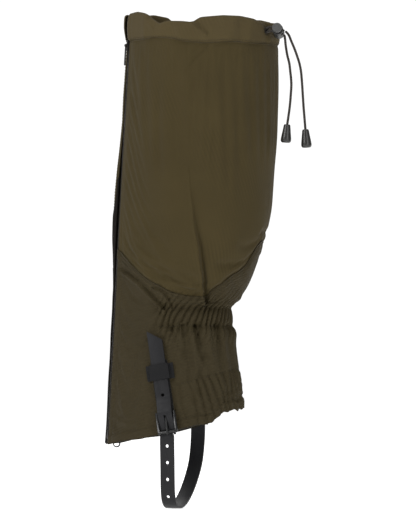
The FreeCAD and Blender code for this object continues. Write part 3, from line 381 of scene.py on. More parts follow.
def strap_mask(points):
    """1 where the strap's backing lies on the cloth, 0 well away from it."""
    from_strap = points - STRAP_ORIGIN
    up, across = from_strap @ STRAP_UP, from_strap @ STRAP_ACROSS
    mask = (smooth((24 - np.abs(across)) / 9.0) * smooth((up + 24) / 10.0)
            * smooth((82 - up) / 12.0))
    return np.where(points[..., 0] > 10, mask, 0)


def anchor_mask(points):
    """1 where the strap's anchor lies on the inner side."""
    distance = np.hypot(points[..., 1] - 11.6, points[..., 2] - 94)
    return np.where(points[..., 0] < -10, smooth((34 - distance) / 12.0), 0)


def large_folds(angle, z, points):
    x, y = side_view(points)
    outer = smooth((points[..., 0] + 6) / 18.0)
    push = np.zeros(angle.shape)
    for row in FOLDS:
        depth, ends = fold(x, y, *row)
        push -= depth * outer * ends
    for row in CREASES:
        push += crease(x, y, *row) * outer
    inner = 1 - outer
    arc = angle * LEG_RADIUS
    for fold_angle, height, lean, width, length, depth in INNER_FOLDS:
        away = arc - fold_angle * LEG_RADIUS - lean * (z - height)
        push -= depth * np.exp(-(away / width) ** 2 - ((z - height) / length) ** 2) * inner
    push += (value_noise(arc / 34.0 + 3, z / 60.0, 3) * 0.9
             + value_noise(arc / 17.0 + 9, z / 33.0, 5) * 0.35)
    # fade by the zip, where the cloth is stitched flat
    from_zip = points - ZIP_FOOT
    free = smooth((np.abs(from_zip @ ZIP_ACROSS) - 7.0) / 14.0)
    free = np.where(from_zip @ ZIP_IN > 30, 1, free)
    flat = (1 - strap_mask(points)) * (1 - anchor_mask(points))
    return push * free * flat


def front_bulge(z, points):
    """The cloth beside the zip stands a little forward of it, most on the inner side."""
    from_zip = points - ZIP_FOOT
    across = from_zip @ ZIP_ACROSS
    push = np.interp(z, FRONT_HEIGHTS, FRONT_PUSH)
    share = np.where(across < 0, hill(across + 11, 6.5), 0.30 * hill(across - 18, 12.0))
    return np.where(from_zip @ ZIP_IN < 30, push * share, 0)


def base_shape(angle, z):
    """Points of the bare leg surface and how far the folded cloth stands off it."""
    points = skin(angle, z)
    return points, large_folds(angle, z, points) + front_bulge(z, points)


# ---------------------------------------------------------------- gathers
ANKLE_LOW, ANKLE_HIGH = 183.0, 201.0        # the two ankle stitch lines
ANKLE_MIDDLE = (ANKLE_LOW + ANKLE_HIGH) / 2


def ankle_span(points):
    """1 where the ankle elastic gathers the cloth, from the outer side round the back."""
    return smooth((points[..., 1] + 17) / 14.0)


def shirring(angle, z, points):
    """Slanted pleats between the ankle stitch lines, dying away above and below."""
    arc = (angle - math.pi) * ANKLE_RADIUS
    phase = (arc + 0.42 * (z - ANKLE_MIDDLE) * np.sign(angle - math.pi)) / 5.8
    phase = phase + 0.33 * value_noise(arc / 9.0, z / 60.0, 11)
    number = np.floor(phase)
    jitter = value_noise(number * 1.7 + 0.5, 0.5, 12)
    pleat = np.sin(np.pi * (phase - number)) ** 0.62 * 2 - 1.25
    outside = np.maximum(0, np.maximum(z - ANKLE_HIGH, ANKLE_LOW - z))
    reach = 9.0 + 7.0 * (jitter * 0.5 + 0.5)
    size = (1.75 + 0.45 * jitter) * np.exp(-(outside / reach) ** 1.5)
    pinch = -1.6 * (hill(z - ANKLE_HIGH, 2.6) + hill(z - ANKLE_LOW, 2.6))
    belly = 0.9 * hill(z - ANKLE_MIDDLE, 5.0)
    lips = 1.1 * (hill(z - ANKLE_HIGH - 8, 5.0) + hill(z - ANKLE_LOW + 8, 5.0))
    return ankle_span(points) * (pleat * size + pinch + belly + lips)


def heel_gathers(angle, z, points):
    """Small upright gathers of the elastic heel hem, below its stitch line."""
    span = smooth((points[..., 1] - 4) / 16.0)
    stitch = HEEL_STITCH(points[..., 1])
    arc = (angle - math.pi) * HEEL_RADIUS
    phase = (arc + 0.18 * (z - 120)) / 7.6 + 0.55 * value_noise(arc / 13.0, z / 50.0, 21)
    jitter = value_noise(np.floor(phase) * 2.3 + 0.5, 0.5, 22)
    wave = np.abs(np.sin(math.pi * phase)) ** 0.6 * 2 - 1.2
    below = smooth((stitch + 5 - z) / 8.0)
    fade = 0.62 + 0.38 * hill(z - stitch + 8, 16.0)
    pinch = -0.9 * hill(z - stitch, 2.0)
    return span * ((1.35 + 0.55 * jitter) * wave * below * fade + pinch)


# ---------------------------------------------------------------- mesh builders
def new_mesh(name, verts, faces, materials, uv=None, face_slots=None, body="sleeve"):
    """Object from vertices in millimetres and a list of (n, 3) or (n, 4) face arrays."""
    mesh = bpy.data.meshes.new(name)
    mesh.vertices.add(len(verts))
    mesh.vertices.foreach_set("co", (np.asarray(verts, np.float32) * MM).ravel())
    corners = np.concatenate([part.ravel() for part in faces])
    sizes = np.concatenate([np.full(len(part), part.shape[1]) for part in faces])
    starts = np.concatenate([[0], np.cumsum(sizes)[:-1]])
    mesh.loops.add(len(corners))
    mesh.loops.foreach_set("vertex_index", corners.astype(np.int32))
    mesh.polygons.add(len(sizes))
    mesh.polygons.foreach_set("loop_start", starts.astype(np.int32))
    if face_slots is not None:
        mesh.polygons.foreach_set("material_index", face_slots.astype(np.int32))
    mesh.update(calc_edges=True)
    mesh.validate()
    mesh.shade_smooth()
    if uv is not None:
        layer = mesh.uv_layers.new(name="UVMap")
        layer.data.foreach_set("uv", np.asarray(uv, np.float32)[corners].ravel())
    for mat in materials:
        mesh.materials.append(mat)
    piece = bpy.data.objects.new(name, mesh)
    bpy.context.scene.collection.objects.link(piece)
    if body:
        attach(piece, body)
    return piece


def stand_for(cad_name):
    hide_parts(cad_name)


def grid_faces(rows, cols, first=0, flip=False):
    i, j = np.meshgrid(np.arange(rows - 1), np.arange(cols - 1), indexing="ij")
    corner = (i * cols + j).ravel()
    faces = np.stack([corner, corner + cols, corner + cols + 1, corner + 1], 1) + first
    return faces[:, ::-1] if flip else faces


def normals(points):
    normal = np.cross(np.gradient(points, axis=0), np.gradient(points, axis=1))
    return normal / np.maximum(1e-9, np.linalg.norm(normal, axis=-1, keepdims=True))


def sheet(name, outer, thick, mat, uv, back=None):
    """A cloth sheet with rounded edges below the grid of its outer face."""
    rows, cols = outer.shape[:2]
    inner = outer - normals(outer) * thick
    border = np.array([(i, 0) for i in range(rows)]
                      + [(rows - 1, j) for j in range(1, cols)]
                      + [(i, cols - 1) for i in range(rows - 2, -1, -1)]
                      + [(0, j) for j in range(cols - 2, 0, -1)])
    i, j = border.T
    rim_out = outer[i, j] - outer[np.clip(i, 1, rows - 2), np.clip(j, 1, cols - 2)]
    rim_out /= np.maximum(1e-9, np.linalg.norm(rim_out, axis=1, keepdims=True))
    middle, half = (outer[i, j] + inner[i, j]) / 2, (outer[i, j] - inner[i, j]) / 2
    rim = [middle + half * math.cos(math.radians(turn))
           + rim_out * (thick * 0.55 * math.sin(math.radians(turn))) for turn in (45, 90, 135)]
    total, around = rows * cols, len(border)
    rings = [i * cols + j]
    rings += [2 * total + k * around + np.arange(around) for k in range(3)]
    rings += [total + i * cols + j]
    faces = [grid_faces(rows, cols), grid_faces(rows, cols, total, flip=True)]
    for ring, after in zip(rings, rings[1:]):
        quads = np.stack([ring, after, np.roll(after, -1), np.roll(ring, -1)], 1)
        faces.append(quads[:, ::-1])
    flat_uv = uv.reshape(-1, 2)
    face_slots = np.concatenate([np.full(len(part), k == 1) for k, part in enumerate(faces)])
    return new_mesh(name, np.concatenate([outer.reshape(-1, 3), inner.reshape(-1, 3)] + rim),
                    faces, [mat, back or mat], np.concatenate([flat_uv, flat_uv] + [uv[i, j]] * 3),
                    face_slots)


def side_reference(axis):
    """A world axis that is not nearly along the given one."""
    return np.array([0, 0, 1.0]) if abs(axis[2]) < 0.9 else np.array([1.0, 0, 0])


def tube(name, points, radius, mat, sides, body="sleeve", radius_at=None):
    """A round cord with rounded ends along a curve."""
    points = np.asarray(points, float)
    heading = np.gradient(points, axis=0)
    heading /= np.linalg.norm(heading, axis=1, keepdims=True)
    side = side_reference(heading[0])
    side_axes, cross_axes = [], []
    for direction in heading:
        side = unit(side - direction * side.dot(direction))
        side_axes.append(side)
        cross_axes.append(np.cross(direction, side))
    side_axes, cross_axes = np.array(side_axes), np.array(cross_axes)
    run = run_length(points)
    turn = np.linspace(0, TAU, sides + 1)
    radii = radius_at(run) if radius_at else radius * np.ones(len(points))
    from_end = np.clip(np.minimum(run, run[-1] - run) / (0.8 * radius), 0, 1)
    radii = radii * np.sqrt(np.clip(1 - (1 - from_end) ** 2, 0.03, 1))
    rings = points[:, None] + (side_axes[:, None] * np.cos(turn)[None, :, None]
                               + cross_axes[:, None] * np.sin(turn)[None, :, None]
                               ) * radii[:, None, None]
    uv = np.stack(np.broadcast_arrays(turn[None, :] * radius, run[:, None]), -1).reshape(-1, 2)
    cols = sides + 1
    total = len(points) * cols
    verts = np.concatenate([rings.reshape(-1, 3), points[:1], points[-1:]])
    uv = np.concatenate([uv, [[0, 0]], [[0, run[-1]]]])
    i = np.arange(sides)
    end = total - cols
    faces = [grid_faces(len(points), cols, flip=True),
             np.stack([np.full(sides, total), i, i + 1], 1)[:, ::-1],
             np.stack([np.full(sides, total + 1), end + i + 1, end + i], 1)[:, ::-1]]
    return new_mesh(name, verts, faces, [mat], uv, body=body)


def resample(points, step):
    """Even stations along a centripetal curve through the points."""
    points = [np.array(point, float) for point in points]
    padded = [points[0] * 2 - points[1]] + points + [points[-1] * 2 - points[-2]]

    def mix(low, high, low_knot, high_knot):
        span = high_knot - low_knot
        return low * ((high_knot - t) / span) + high * ((t - low_knot) / span)

    def knot_step(start, end):
        return max(1e-6, np.linalg.norm(end - start) ** 0.5)
    fine = []
    for i in range(len(points) - 1):
        before, start, end, after = padded[i:i + 4]
        knot1 = knot_step(before, start)
        knot2 = knot1 + knot_step(start, end)
        knot3 = knot2 + knot_step(end, after)
        for k in range(24):
            t = knot1 + (knot2 - knot1) * k / 24.0
            first = mix(before, start, 0, knot1)
            second = mix(start, end, knot1, knot2)
            third = mix(end, after, knot2, knot3)
            fine.append(mix(mix(first, second, 0, knot2), mix(second, third, knot1, knot3),
                            knot1, knot2))
    fine.append(points[-1])
    fine = np.array(fine)
    run = run_length(fine)
    count = max(3, int(round(run[-1] / step)))
    return sample(np.linspace(0, run[-1], count + 1), run, fine)


def tube_faces(rings, sides, closed=False):
    """Faces of a bent tube whose rings share no seam column."""
    i, j = np.meshgrid(np.arange(rings if closed else rings - 1), np.arange(sides), indexing="ij")
    after, beside = (i + 1) % rings, (j + 1) % sides
    return np.stack([i * sides + j, i * sides + beside, after * sides + beside,
                     after * sides + j], -1).reshape(-1, 4)


def stitches(name, lines, mat, pitch=3.0, length=2.1, radius=0.24):
    """Short thread loops along lines on a surface; a line is (points, normals)."""
    lift, sink = 0.12, 0.30     # rise of a loop's middle and fall of its ends
    rings, sides = 5, 6
    turn = np.linspace(0, TAU, sides, endpoint=False)[:, None]
    loop_faces = tube_faces(rings, sides)
    verts, faces = [], []
    for points, point_normals in lines:
        run = run_length(points)
        centres = np.arange(pitch * 0.6, run[-1] - pitch * 0.5, pitch)
        middle, out = sample(centres, run, points), sample(centres, run, point_normals)
        heading = (sample(np.minimum(centres + 0.6, run[-1]), run, points)
                   - sample(np.maximum(centres - 0.6, 0), run, points))
        heading /= np.maximum(1e-9, np.linalg.norm(heading, axis=1, keepdims=True))
        out /= np.maximum(1e-9, np.linalg.norm(out, axis=1, keepdims=True))
        across = np.cross(heading, out)
        for k in range(len(centres)):
            faces.append(loop_faces + len(verts) * sides)
            for t in np.linspace(-1, 1, rings):
                arch = lift * (1 - t * t) - sink * t ** 4
                ring_radius = radius * math.sqrt(max(0.05, 1 - t ** 6))
                centre = middle[k] + heading[k] * (t * length / 2) + out[k] * arch
                spokes = out[k][None] * np.cos(turn) + across[k][None] * np.sin(turn)
                verts.append(centre + spokes * ring_radius)
    new_mesh(name, np.concatenate(verts), [np.concatenate(faces)], [mat])


def straight_line(place, stations, normal):
    """A stitch line through place(station), with one normal."""
    return np.array([place(s) for s in stations]), np.tile(normal, (len(stations), 1))


def lathe(name, profile, origin, axis, mat, body, sides):
    """A turned shape; the profile is (distance along the axis, radius)."""
    axis = unit(axis)
    reference = side_reference(axis)
    side = unit(reference - axis * reference.dot(axis))
    cross = np.cross(axis, side)
    profile = np.array(profile, float)
    along, radii = profile.T
    turn = np.linspace(0, TAU, sides + 1)
    spokes = (side * np.cos(turn)[:, None] + cross * np.sin(turn)[:, None])[None]
    points = np.array(origin) + axis * along[:, None, None] + spokes * radii[:, None, None]
    uv = np.stack(np.broadcast_arrays(turn[None] * radii.max(), run_length(profile)[:, None]), -1)
    return new_mesh(name, points.reshape(-1, 3), [grid_faces(len(profile), sides + 1, flip=True)],
                    [mat], uv.reshape(-1, 2), body=body)


def bevelled(cad_name, mat, body, width, segments=3):
    """A copy of a CAD piece with softened edges, standing for that piece."""
    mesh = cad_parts[cad_name].data.copy()
    mesh.materials.clear()
    mesh.materials.append(MATERIALS[mat])
    piece = bpy.data.objects.new(cad_name + "_look", mesh)
    bpy.context.scene.collection.objects.link(piece)
    editable = bmesh.new()
    editable.from_mesh(mesh)
    bmesh.ops.remove_doubles(editable, verts=editable.verts, dist=2e-6)
    bmesh.ops.dissolve_limit(editable, angle_limit=math.radians(1.5), verts=editable.verts,
                             edges=editable.edges)
    editable.to_mesh(mesh)
    editable.free()
    bevel = piece.modifiers.new("b", "BEVEL")
    bevel.width = width * MM
    bevel.segments = segments
    bevel.limit_method = "ANGLE"
    bevel.angle_limit = math.radians(32)
    bevel.harden_normals = False
    bevel.use_clamp_overlap = True
    depsgraph = bpy.context.evaluated_depsgraph_get()
    result = bpy.data.meshes.new_from_object(piece.evaluated_get(depsgraph))
    piece.modifiers.clear()
    piece.data = result
    result.shade_smooth()
    result.set_sharp_from_angle(angle=math.radians(38))
    if not result.uv_layers:
        result.uv_layers.new(name="UVMap")
    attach(piece, body)
    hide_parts(cad_name)


# ---------------------------------------------------------------- material builders
def material(name, base, rough=0.8, metallic=0.0, spec=0.3, sheen=0.0, coat=0.0, build=None):
    mat = bpy.data.materials.new(name)
    mat.use_nodes = True
    shader = mat.node_tree.nodes["Principled BSDF"]
    for key, value in {"Base Color": (*base, 1), "Roughness": rough, "Metallic": metallic,
                       "Specular IOR Level": spec, "Sheen Weight": sheen,
                       "Sheen Roughness": 0.5, "Coat Weight": coat}.items():
        shader.inputs[key].default_value = value
    if build:
        build(mat.node_tree, shader, base)
    return mat


def add_node(tree, kind, operation=None, **inputs):
    node = tree.nodes.new(kind)
    if operation:
        node.operation = operation
    for key, value in inputs.items():
        node.inputs[key].default_value = value
    return node


def add_texture(tree, coords, kind="Noise", **inputs):
    texture = add_node(tree, "ShaderNodeTex" + kind, **inputs)
    tree.links.new(coords.outputs["Object"], texture.inputs["Vector"])
    return texture.outputs["Distance" if kind == "Voronoi" else "Fac"]


def add_bump(tree, height, strength, distance):
    bump = add_node(tree, "ShaderNodeBump", Strength=strength, Distance=distance)
    tree.links.new(height, bump.inputs["Height"])
    return bump


def scale_base(tree, shader, base, factor):
    """Drives the base colour by a brightness factor."""
    scaled = add_node(tree, "ShaderNodeVectorMath", "SCALE")
    scaled.inputs[0].default_value = base
    tree.links.new(factor, scaled.inputs["Scale"])
    tree.links.new(scaled.outputs[0], shader.inputs["Base Color"])


def weave(kind, bump, groove_shade, mottle):
    """Cloth: threads from the millimetre UV map, with painted shade in their grooves and painted
    light on their raised tops, plus soft mottling.
    """
    def build(tree, shader, base):
        link = tree.links.new

        def calc(operation, first, second=None):
            node = add_node(tree, "ShaderNodeMath", operation)
            for i, value in enumerate((first, second)):
                if isinstance(value, (int, float)):
                    node.inputs[i].default_value = value
                elif value is not None:
                    link(value, node.inputs[i])
            return node.outputs[0]

        def wave(place, spacing):
            return calc("SINE", calc("MULTIPLY", place, TAU / spacing))

        def crossed(main, second, share):
            return calc("ADD", main, calc("MULTIPLY", second, share))

        uv_coords = add_node(tree, "ShaderNodeTexCoord")
        split = add_node(tree, "ShaderNodeSeparateXYZ")
        link(uv_coords.outputs["UV"], split.inputs[0])
        u, v = split.outputs[0], split.outputs[1]
        if kind == "twill":      # fine diagonal lines, 0.9 mm apart
            diagonal = calc("ADD", calc("MULTIPLY", u, 0.80), calc("MULTIPLY", v, 0.60))
            height = crossed(wave(diagonal, 0.9), wave(v, 0.55), 0.35)
        elif kind == "rib":      # raised ribs round the leg, 1.5 mm apart, cut by threads
            slanted = calc("ADD", v, calc("MULTIPLY", u, 0.12))
            height = crossed(wave(slanted, 1.5), wave(u, 0.8), 0.45)
        elif kind == "webbing":  # herringbone webbing
            zigzag = calc("PINGPONG", u, 2.2)
            height = wave(calc("ADD", v, zigzag), 1.1)
        elif kind == "braid":    # diamond braid round a cord
            right = wave(calc("ADD", calc("MULTIPLY", u, 0.77), v), 1.6)
            left = wave(calc("SUBTRACT", calc("MULTIPLY", u, 0.77), v), 1.6)
            height = calc("MAXIMUM", right, left)
        else:                    # elastic: fine ribs, one every 1.2 mm of v
            height = crossed(wave(v, 1.2), wave(u, 0.7), 0.5)
        threads = add_bump(tree, height, strength=bump, distance=0.00022)
        coords = add_node(tree, "ShaderNodeTexCoord")
        fuzz = add_bump(tree, add_texture(tree, coords, Scale=95.0, Detail=4.0),
                        strength=0.16, distance=0.0006)
        link(threads.outputs["Normal"], fuzz.inputs["Normal"])
        link(fuzz.outputs["Normal"], shader.inputs["Normal"])
        # colour follows thread height: painted light on the raised threads, painted shade in the
        # grooves
        tone = calc("MULTIPLY", calc("MULTIPLY", height, 0.5), groove_shade)
        if kind in ("twill", "rib"):        # faint diagonal streaks in patches
            spacing, slant, amount = (3.1, 0.34, 0.34) if kind == "twill" else (2.4, 2.2, 0.42)
            streak = wave(calc("ADD", u, calc("MULTIPLY", v, slant)), spacing)
            patch = add_texture(tree, coords, Scale=14.0)
            patch = calc("MAXIMUM", calc("SUBTRACT", patch, 0.42), 0.0)
            tone = calc("ADD", tone, calc("MULTIPLY", calc("MULTIPLY", streak, patch), amount))
        mottling = add_texture(tree, coords, Scale=26.0, Detail=3.0)
        mottling = calc("MULTIPLY", calc("SUBTRACT", mottling, 0.5), mottle * 2)
        scale_base(tree, shader, base, calc("ADD", calc("ADD", tone, mottling), 1.0))
    return build


def grain(scale, strength, distance=0.0002, mottle=0.08, voronoi=False):
    """Fine surface grain with coarser mottling."""
    def build(tree, shader, base):
        coords = add_node(tree, "ShaderNodeTexCoord")
        if voronoi:
            height = add_texture(tree, coords, "Voronoi", Scale=scale)
        else:
            height = add_texture(tree, coords, Scale=scale, Detail=3.0)
        bump = add_bump(tree, height, strength, distance)
        tree.links.new(bump.outputs["Normal"], shader.inputs["Normal"])
        coarse = add_texture(tree, coords, Scale=scale / 6)
        factor = add_node(tree, "ShaderNodeMath", "MULTIPLY_ADD")
        tree.links.new(coarse, factor.inputs[0])
        factor.inputs[1].default_value = mottle * 2
        factor.inputs[2].default_value = 1 - mottle
        scale_base(tree, shader, base, factor.outputs[0])
    return build


# ---------------------------------------------------------------- materials
MATERIALS = {
    "upper": material("upper_twill", base=(0.043, 0.032, 0.0122), rough=0.9, spec=0.10, sheen=0.04,
                      build=weave("twill", bump=0.45, groove_shade=0.12, mottle=0.12)),
    "lower": material("lower_ribbed", base=(0.030, 0.0225, 0.0088), rough=0.72, spec=0.16,
                      build=weave("rib", bump=0.6, groove_shade=0.24, mottle=0.12)),
    # the upper twill made lighter for the folded top edge: painted light
    "top_twill_painted_lighter": material("edge_twill_painted_lighter", base=(0.058, 0.0435, 0.0190), rough=0.9, spec=0.10,
                       sheen=0.04, build=weave("twill", bump=0.45, groove_shade=0.12, mottle=0.14)),
    "inside": material("inner_coating", base=(0.022, 0.018, 0.010), rough=0.55,
                       build=weave("twill", bump=0.18, groove_shade=0.05, mottle=0.12)),
    "thread": material("thread", base=(0.026, 0.020, 0.009), rough=0.75, spec=0.25),
    "thread_dark": material("thread_dark", base=(0.012, 0.012, 0.012), rough=0.7, spec=0.25),
    "tape": material("zip_tape_weave", base=(0.0085, 0.007, 0.006), rough=0.85, spec=0.08,
                     build=weave("elastic", bump=0.35, groove_shade=0.3, mottle=0.15)),
    "coil": material("zip_coil", base=(0.011, 0.008, 0.006), rough=0.45, spec=0.25),
    "zipmetal": material("zip_lacquer", base=(0.020, 0.018, 0.016), rough=0.34, metallic=0.7,
                         build=grain(scale=900, strength=0.08)),
    "backing": material("backing_web", base=(0.007, 0.0068, 0.0065), rough=0.9, spec=0.08,
                        sheen=0.08, build=weave("webbing", bump=0.5, groove_shade=0.3, mottle=0.15)),
    "rubber": material("strap_rubber", base=(0.0125, 0.0125, 0.0135), rough=0.46, spec=0.16,
                       build=grain(scale=1500, strength=0.30, mottle=0.10)),
    "keeper": material("keeper_rubber", base=(0.008, 0.008, 0.0085), rough=0.6, spec=0.12,
                       build=grain(scale=1200, strength=0.12)),
    "buckle": material("buckle_lacquer", base=(0.007, 0.007, 0.007), rough=0.30, spec=0.35,
                       coat=0.1, build=grain(scale=700, strength=0.06)),
    "steel": material("nickel_steel", base=(0.50, 0.49, 0.47), rough=0.28, metallic=1.0,
                      build=grain(scale=800, strength=0.05)),
    "hook": material("hook_lacquer", base=(0.009, 0.009, 0.009), rough=0.36,
                     build=grain(scale=900, strength=0.06)),
    "cord": material("cord_braid", base=(0.020, 0.016, 0.0125), rough=0.85, sheen=0.1,
                     build=weave("braid", bump=0.8, groove_shade=0.5, mottle=0.15)),
    "lock": material("lock_acetal", base=(0.012, 0.012, 0.0115), rough=0.50, spec=0.4,
                     build=grain(scale=1600, strength=0.22)),
    "plunger": material("plunger_acetal", base=(0.045, 0.045, 0.043), rough=0.55, spec=0.4,
                        build=grain(scale=900, strength=0.45, distance=0.0003, mottle=0.16,
                                    voronoi=True)),
    "bell": material("cord_end", base=(0.009, 0.0085, 0.007), rough=0.33, spec=0.5,
                     build=grain(scale=800, strength=0.05)),
    "elastic": material("elastic_band", base=(0.03, 0.03, 0.028), rough=0.85, sheen=0.1,
                        build=weave("elastic", bump=0.8, groove_shade=0.4, mottle=0.1)),
    "patch": material("anchor_web", base=(0.022, 0.021, 0.020), rough=0.85, sheen=0.08,
                      build=weave("webbing", bump=0.5, groove_shade=0.3, mottle=0.15)),
    "floor": material("pale_floor", base=(0.90, 0.90, 0.90), rough=0.9, spec=0.05),
}

# ---------------------------------------------------------------- cloth settling
# grid of the settling cloth: columns round the leg, rows below and above the seam
SETTLE_COLUMNS, SETTLE_LOWER, SETTLE_UPPER = 170, 62, 74
SETTLE_FRAMES = 26
SETTLE_LIMIT = 5.0      # largest move kept


def settle_form():
    """The leg form that the cloth settles over."""
    angle, z = np.meshgrid(np.linspace(0, TAU, 73), np.linspace(58, 500, 62), indexing="ij")
    points, push = base_shape(angle, z)
    points = points + radial(angle, z) * (np.minimum(push, 0) - 3.2)[..., None]
    form = new_mesh("settle_form", points.reshape(-1, 3), [grid_faces(73, 62)],
                    [MATERIALS["upper"]], body=None)
    form.modifiers.new("c", "COLLISION")
    form.collision.thickness_outer = 0.0006
    form.collision.cloth_friction = 8
    return form


def hold_weights(z, points, ankle):
    """How firmly each point is held: at edges, seam and ankle, and under strap and anchor."""
    rows, cols = z.shape
    i, j = np.arange(rows)[:, None], np.arange(cols)[None]
    weight = np.full(z.shape, 0.10)
    for hold in (smooth((7 - np.minimum(i, rows - 1 - i)) / 5.0),
                 smooth((j - (cols - 5)) / 3.0),
                 smooth((4 - j) / 3.0),
                 0.92 * ankle * hill(z - ANKLE_MIDDLE, 13.0),
                 0.5 * hill(j - (SETTLE_LOWER - 1), 1.5),
                 strap_mask(points),
                 anchor_mask(points)):
        weight = np.maximum(weight, hold)
    return weight


def settle():
    """Lets the sleeve settle as slack cloth over the leg form; returns how each point moves."""
    angle, z = wrap_grid(SETTLE_COLUMNS, [(hem_height, seam_height, SETTLE_LOWER),
                                          (seam_height, stitch_height, SETTLE_UPPER)])
    points, push = base_shape(angle, z)
    ankle = ankle_span(points)
    pull = ankle * hill(z - ANKLE_MIDDLE, 11.0) * -0.6
    start = points + radial(angle, z) * (push + pull)[..., None]
    rows, cols = angle.shape
    cloth = new_mesh("settle_cloth", start.reshape(-1, 3), [grid_faces(rows, cols)],
                     [MATERIALS["upper"]], body=None)
    form = settle_form()
    group = cloth.vertex_groups.new(name="hold")
    weights = np.round(hold_weights(z, points, ankle).reshape(-1), 2)
    for value in np.unique(weights):
        group.add(np.nonzero(weights == value)[0].tolist(), float(value), "REPLACE")
    modifier = cloth.modifiers.new("cloth", "CLOTH")
    settings = modifier.settings
    settings.quality = 6
    settings.mass = 0.25
    settings.air_damping = 3.0
    settings.tension_stiffness = settings.compression_stiffness = 28
    settings.shear_stiffness = 12
    settings.bending_stiffness = 4.0
    settings.tension_damping = settings.compression_damping = 14
    settings.bending_damping = 1.0
    settings.vertex_group_mass = "hold"
    settings.pin_stiffness = 2.0
    settings.shrink_min = -0.013
    modifier.collision_settings.use_collision = True
    modifier.collision_settings.distance_min = 0.0006
    modifier.collision_settings.use_self_collision = False
    scene = bpy.context.scene
    modifier.point_cache.frame_start, modifier.point_cache.frame_end = 1, SETTLE_FRAMES
    scene.frame_start, scene.frame_end = 1, SETTLE_FRAMES
    for i in range(1, SETTLE_FRAMES + 1):
        scene.frame_set(i)
    settled = cloth.evaluated_get(bpy.context.evaluated_depsgraph_get())
    coords = np.zeros(rows * cols * 3, np.float32)
    settled.data.vertices.foreach_get("co", coords)
    move = coords.reshape(rows, cols, 3) / MM - start
    length = np.linalg.norm(move, axis=-1, keepdims=True)
    move = move * np.minimum(1, SETTLE_LIMIT / np.maximum(length, 1e-6))
    scene.frame_set(1)
    for temporary in (cloth, form):
        bpy.data.objects.remove(temporary)
    # one pass of averaging with the four neighbours
    padded = np.pad(move, ((1, 1), (1, 1), (0, 0)), mode="edge")
    return (padded[1:-1, 1:-1] * 4 + padded[:-2, 1:-1] + padded[2:, 1:-1] + padded[1:-1, :-2]
            + padded[1:-1, 2:]) / 8


def cubic_rows(grid, count):
    """Catmull-Rom resampling along axis 0."""
    last = grid.shape[0] - 1
    place = np.linspace(0, last, count)
    i = np.minimum(place.astype(int), last - 1)
    t = (place - i).reshape(-1, *([1] * (grid.ndim - 1)))
    before, low, high, after = [grid[np.clip(i + k, 0, last)] for k in (-1, 0, 1, 2)]
    return 0.5 * (2 * low + (high - before) * t
                  + (2 * before - 5 * low + 4 * high - after) * t ** 2
                  + (3 * low - before - 3 * high + after) * t ** 3)


def upsample(grid, rows, cols):
    return np.swapaxes(cubic_rows(np.swapaxes(cubic_rows(grid, rows), 0, 1), cols), 0, 1)


settled_move = settle()

# ---------------------------------------------------------------- sleeve panels
COLUMNS, LOWER_ROWS, UPPER_ROWS = 620, 210, 240
FELL_LINES = (2.4, 6.8)     # the two stitch lines below the seam edge
HEM_LINE = 9.5              # the stitch line above the foot hem


def lower_detail(angle, z, points):
    arc = angle * LEG_RADIUS
    push = shirring(angle, z, points) + heel_gathers(angle, z, points)
    from_seam = z[:, -1:] - z
    push += 0.9 * smooth((10.0 - from_seam) / 1.6)      # felled edge lies over the upper cloth
    for offset in FELL_LINES:
        push -= 0.42 * hill(from_seam - offset, 0.8)
    pucker = 0.16 * np.sin(arc / 1.9) + 0.22 * value_noise(arc / 6.0, z / 9.0, 31)
    push += pucker * smooth((12 - from_seam) / 8.0)
    from_hem = z - z[:, :1]
    push += 0.55 * smooth((9 - from_hem) / 2.0) - 0.3 * hill(from_hem - HEM_LINE, 0.9)
    push += 0.35 * value_noise(arc / 13.0, 0, 33) * smooth((26 - from_hem) / 26.0)
    return push


def upper_detail(angle, z, points):
    arc = angle * LEG_RADIUS
    push = shirring(angle, z, points)
    from_seam = z - z[:, :1]
    push -= 0.25 * smooth((5 - from_seam) / 5.0)
    push += 0.30 * value_noise(arc / 7.0, z / 12.0, 41) * smooth((16 - from_seam) / 16.0)
    from_top = z[:, -1:] - z
    push -= 0.55 * hill(from_top, 2.2)
    gather = 0.5 * value_noise(arc / 9.0, 1, 42) + 0.25 * np.sin(arc / 4.1)
    push += gather * smooth((22 - from_top) / 22.0)
    return push


def panel_points(angle, z, move, detail):
    points, push = base_shape(angle, z)
    push = push + detail(angle, z, points)
    return points + radial(angle, z) * push[..., None] + upsample(move, *angle.shape)


def cloth_uv(angle, up):
    """Millimetres round the leg and up."""
    return np.stack([(angle - math.pi) * UV_RADIUS, up], -1)


lower_angle, lower_z = wrap_grid(COLUMNS, [(hem_height, seam_height, LOWER_ROWS)])
upper_angle, upper_z = wrap_grid(COLUMNS, [(seam_height, stitch_height, UPPER_ROWS)])
lower_points = panel_points(lower_angle, lower_z, settled_move[:, :SETTLE_LOWER], lower_detail)
upper_points = panel_points(upper_angle, upper_z, settled_move[:, SETTLE_LOWER - 1:], upper_detail)
lower_normals = normals(lower_points)
# the upper cloth runs on under the seam for a few millimetres
TUCK = (3, 2, 1)
tuck_points = np.stack([lower_points[:, -2 - 3 * k] - lower_normals[:, -2 - 3 * k] for k in TUCK],
                       1)
upper_points = np.concatenate([tuck_points, upper_points], 1)

upper = sheet("upper_cloth", upper_points, 0.75, MATERIALS["upper"],
              cloth_uv(np.concatenate([upper_angle[:, :1]] * 3 + [upper_angle], 1),
                       np.concatenate([upper_z[:, :1] - 3 * k for k in TUCK] + [upper_z], 1)),
              back=MATERIALS["inside"])
stand_for("upper_panel")
lower = sheet("lower_cloth", lower_points, 0.9, MATERIALS["lower"], cloth_uv(lower_angle, lower_z),
              back=MATERIALS["inside"])
stand_for("lower_panel")

# ---------------------------------------------------------------- folded top edge
TOP_ROWS = 26
TOP_ROUND = 2.2             # radius of the fold
OUTER_SHARE, ROUND_SHARE = 0.42, 0.60   # where the outer face and the rounded fold end
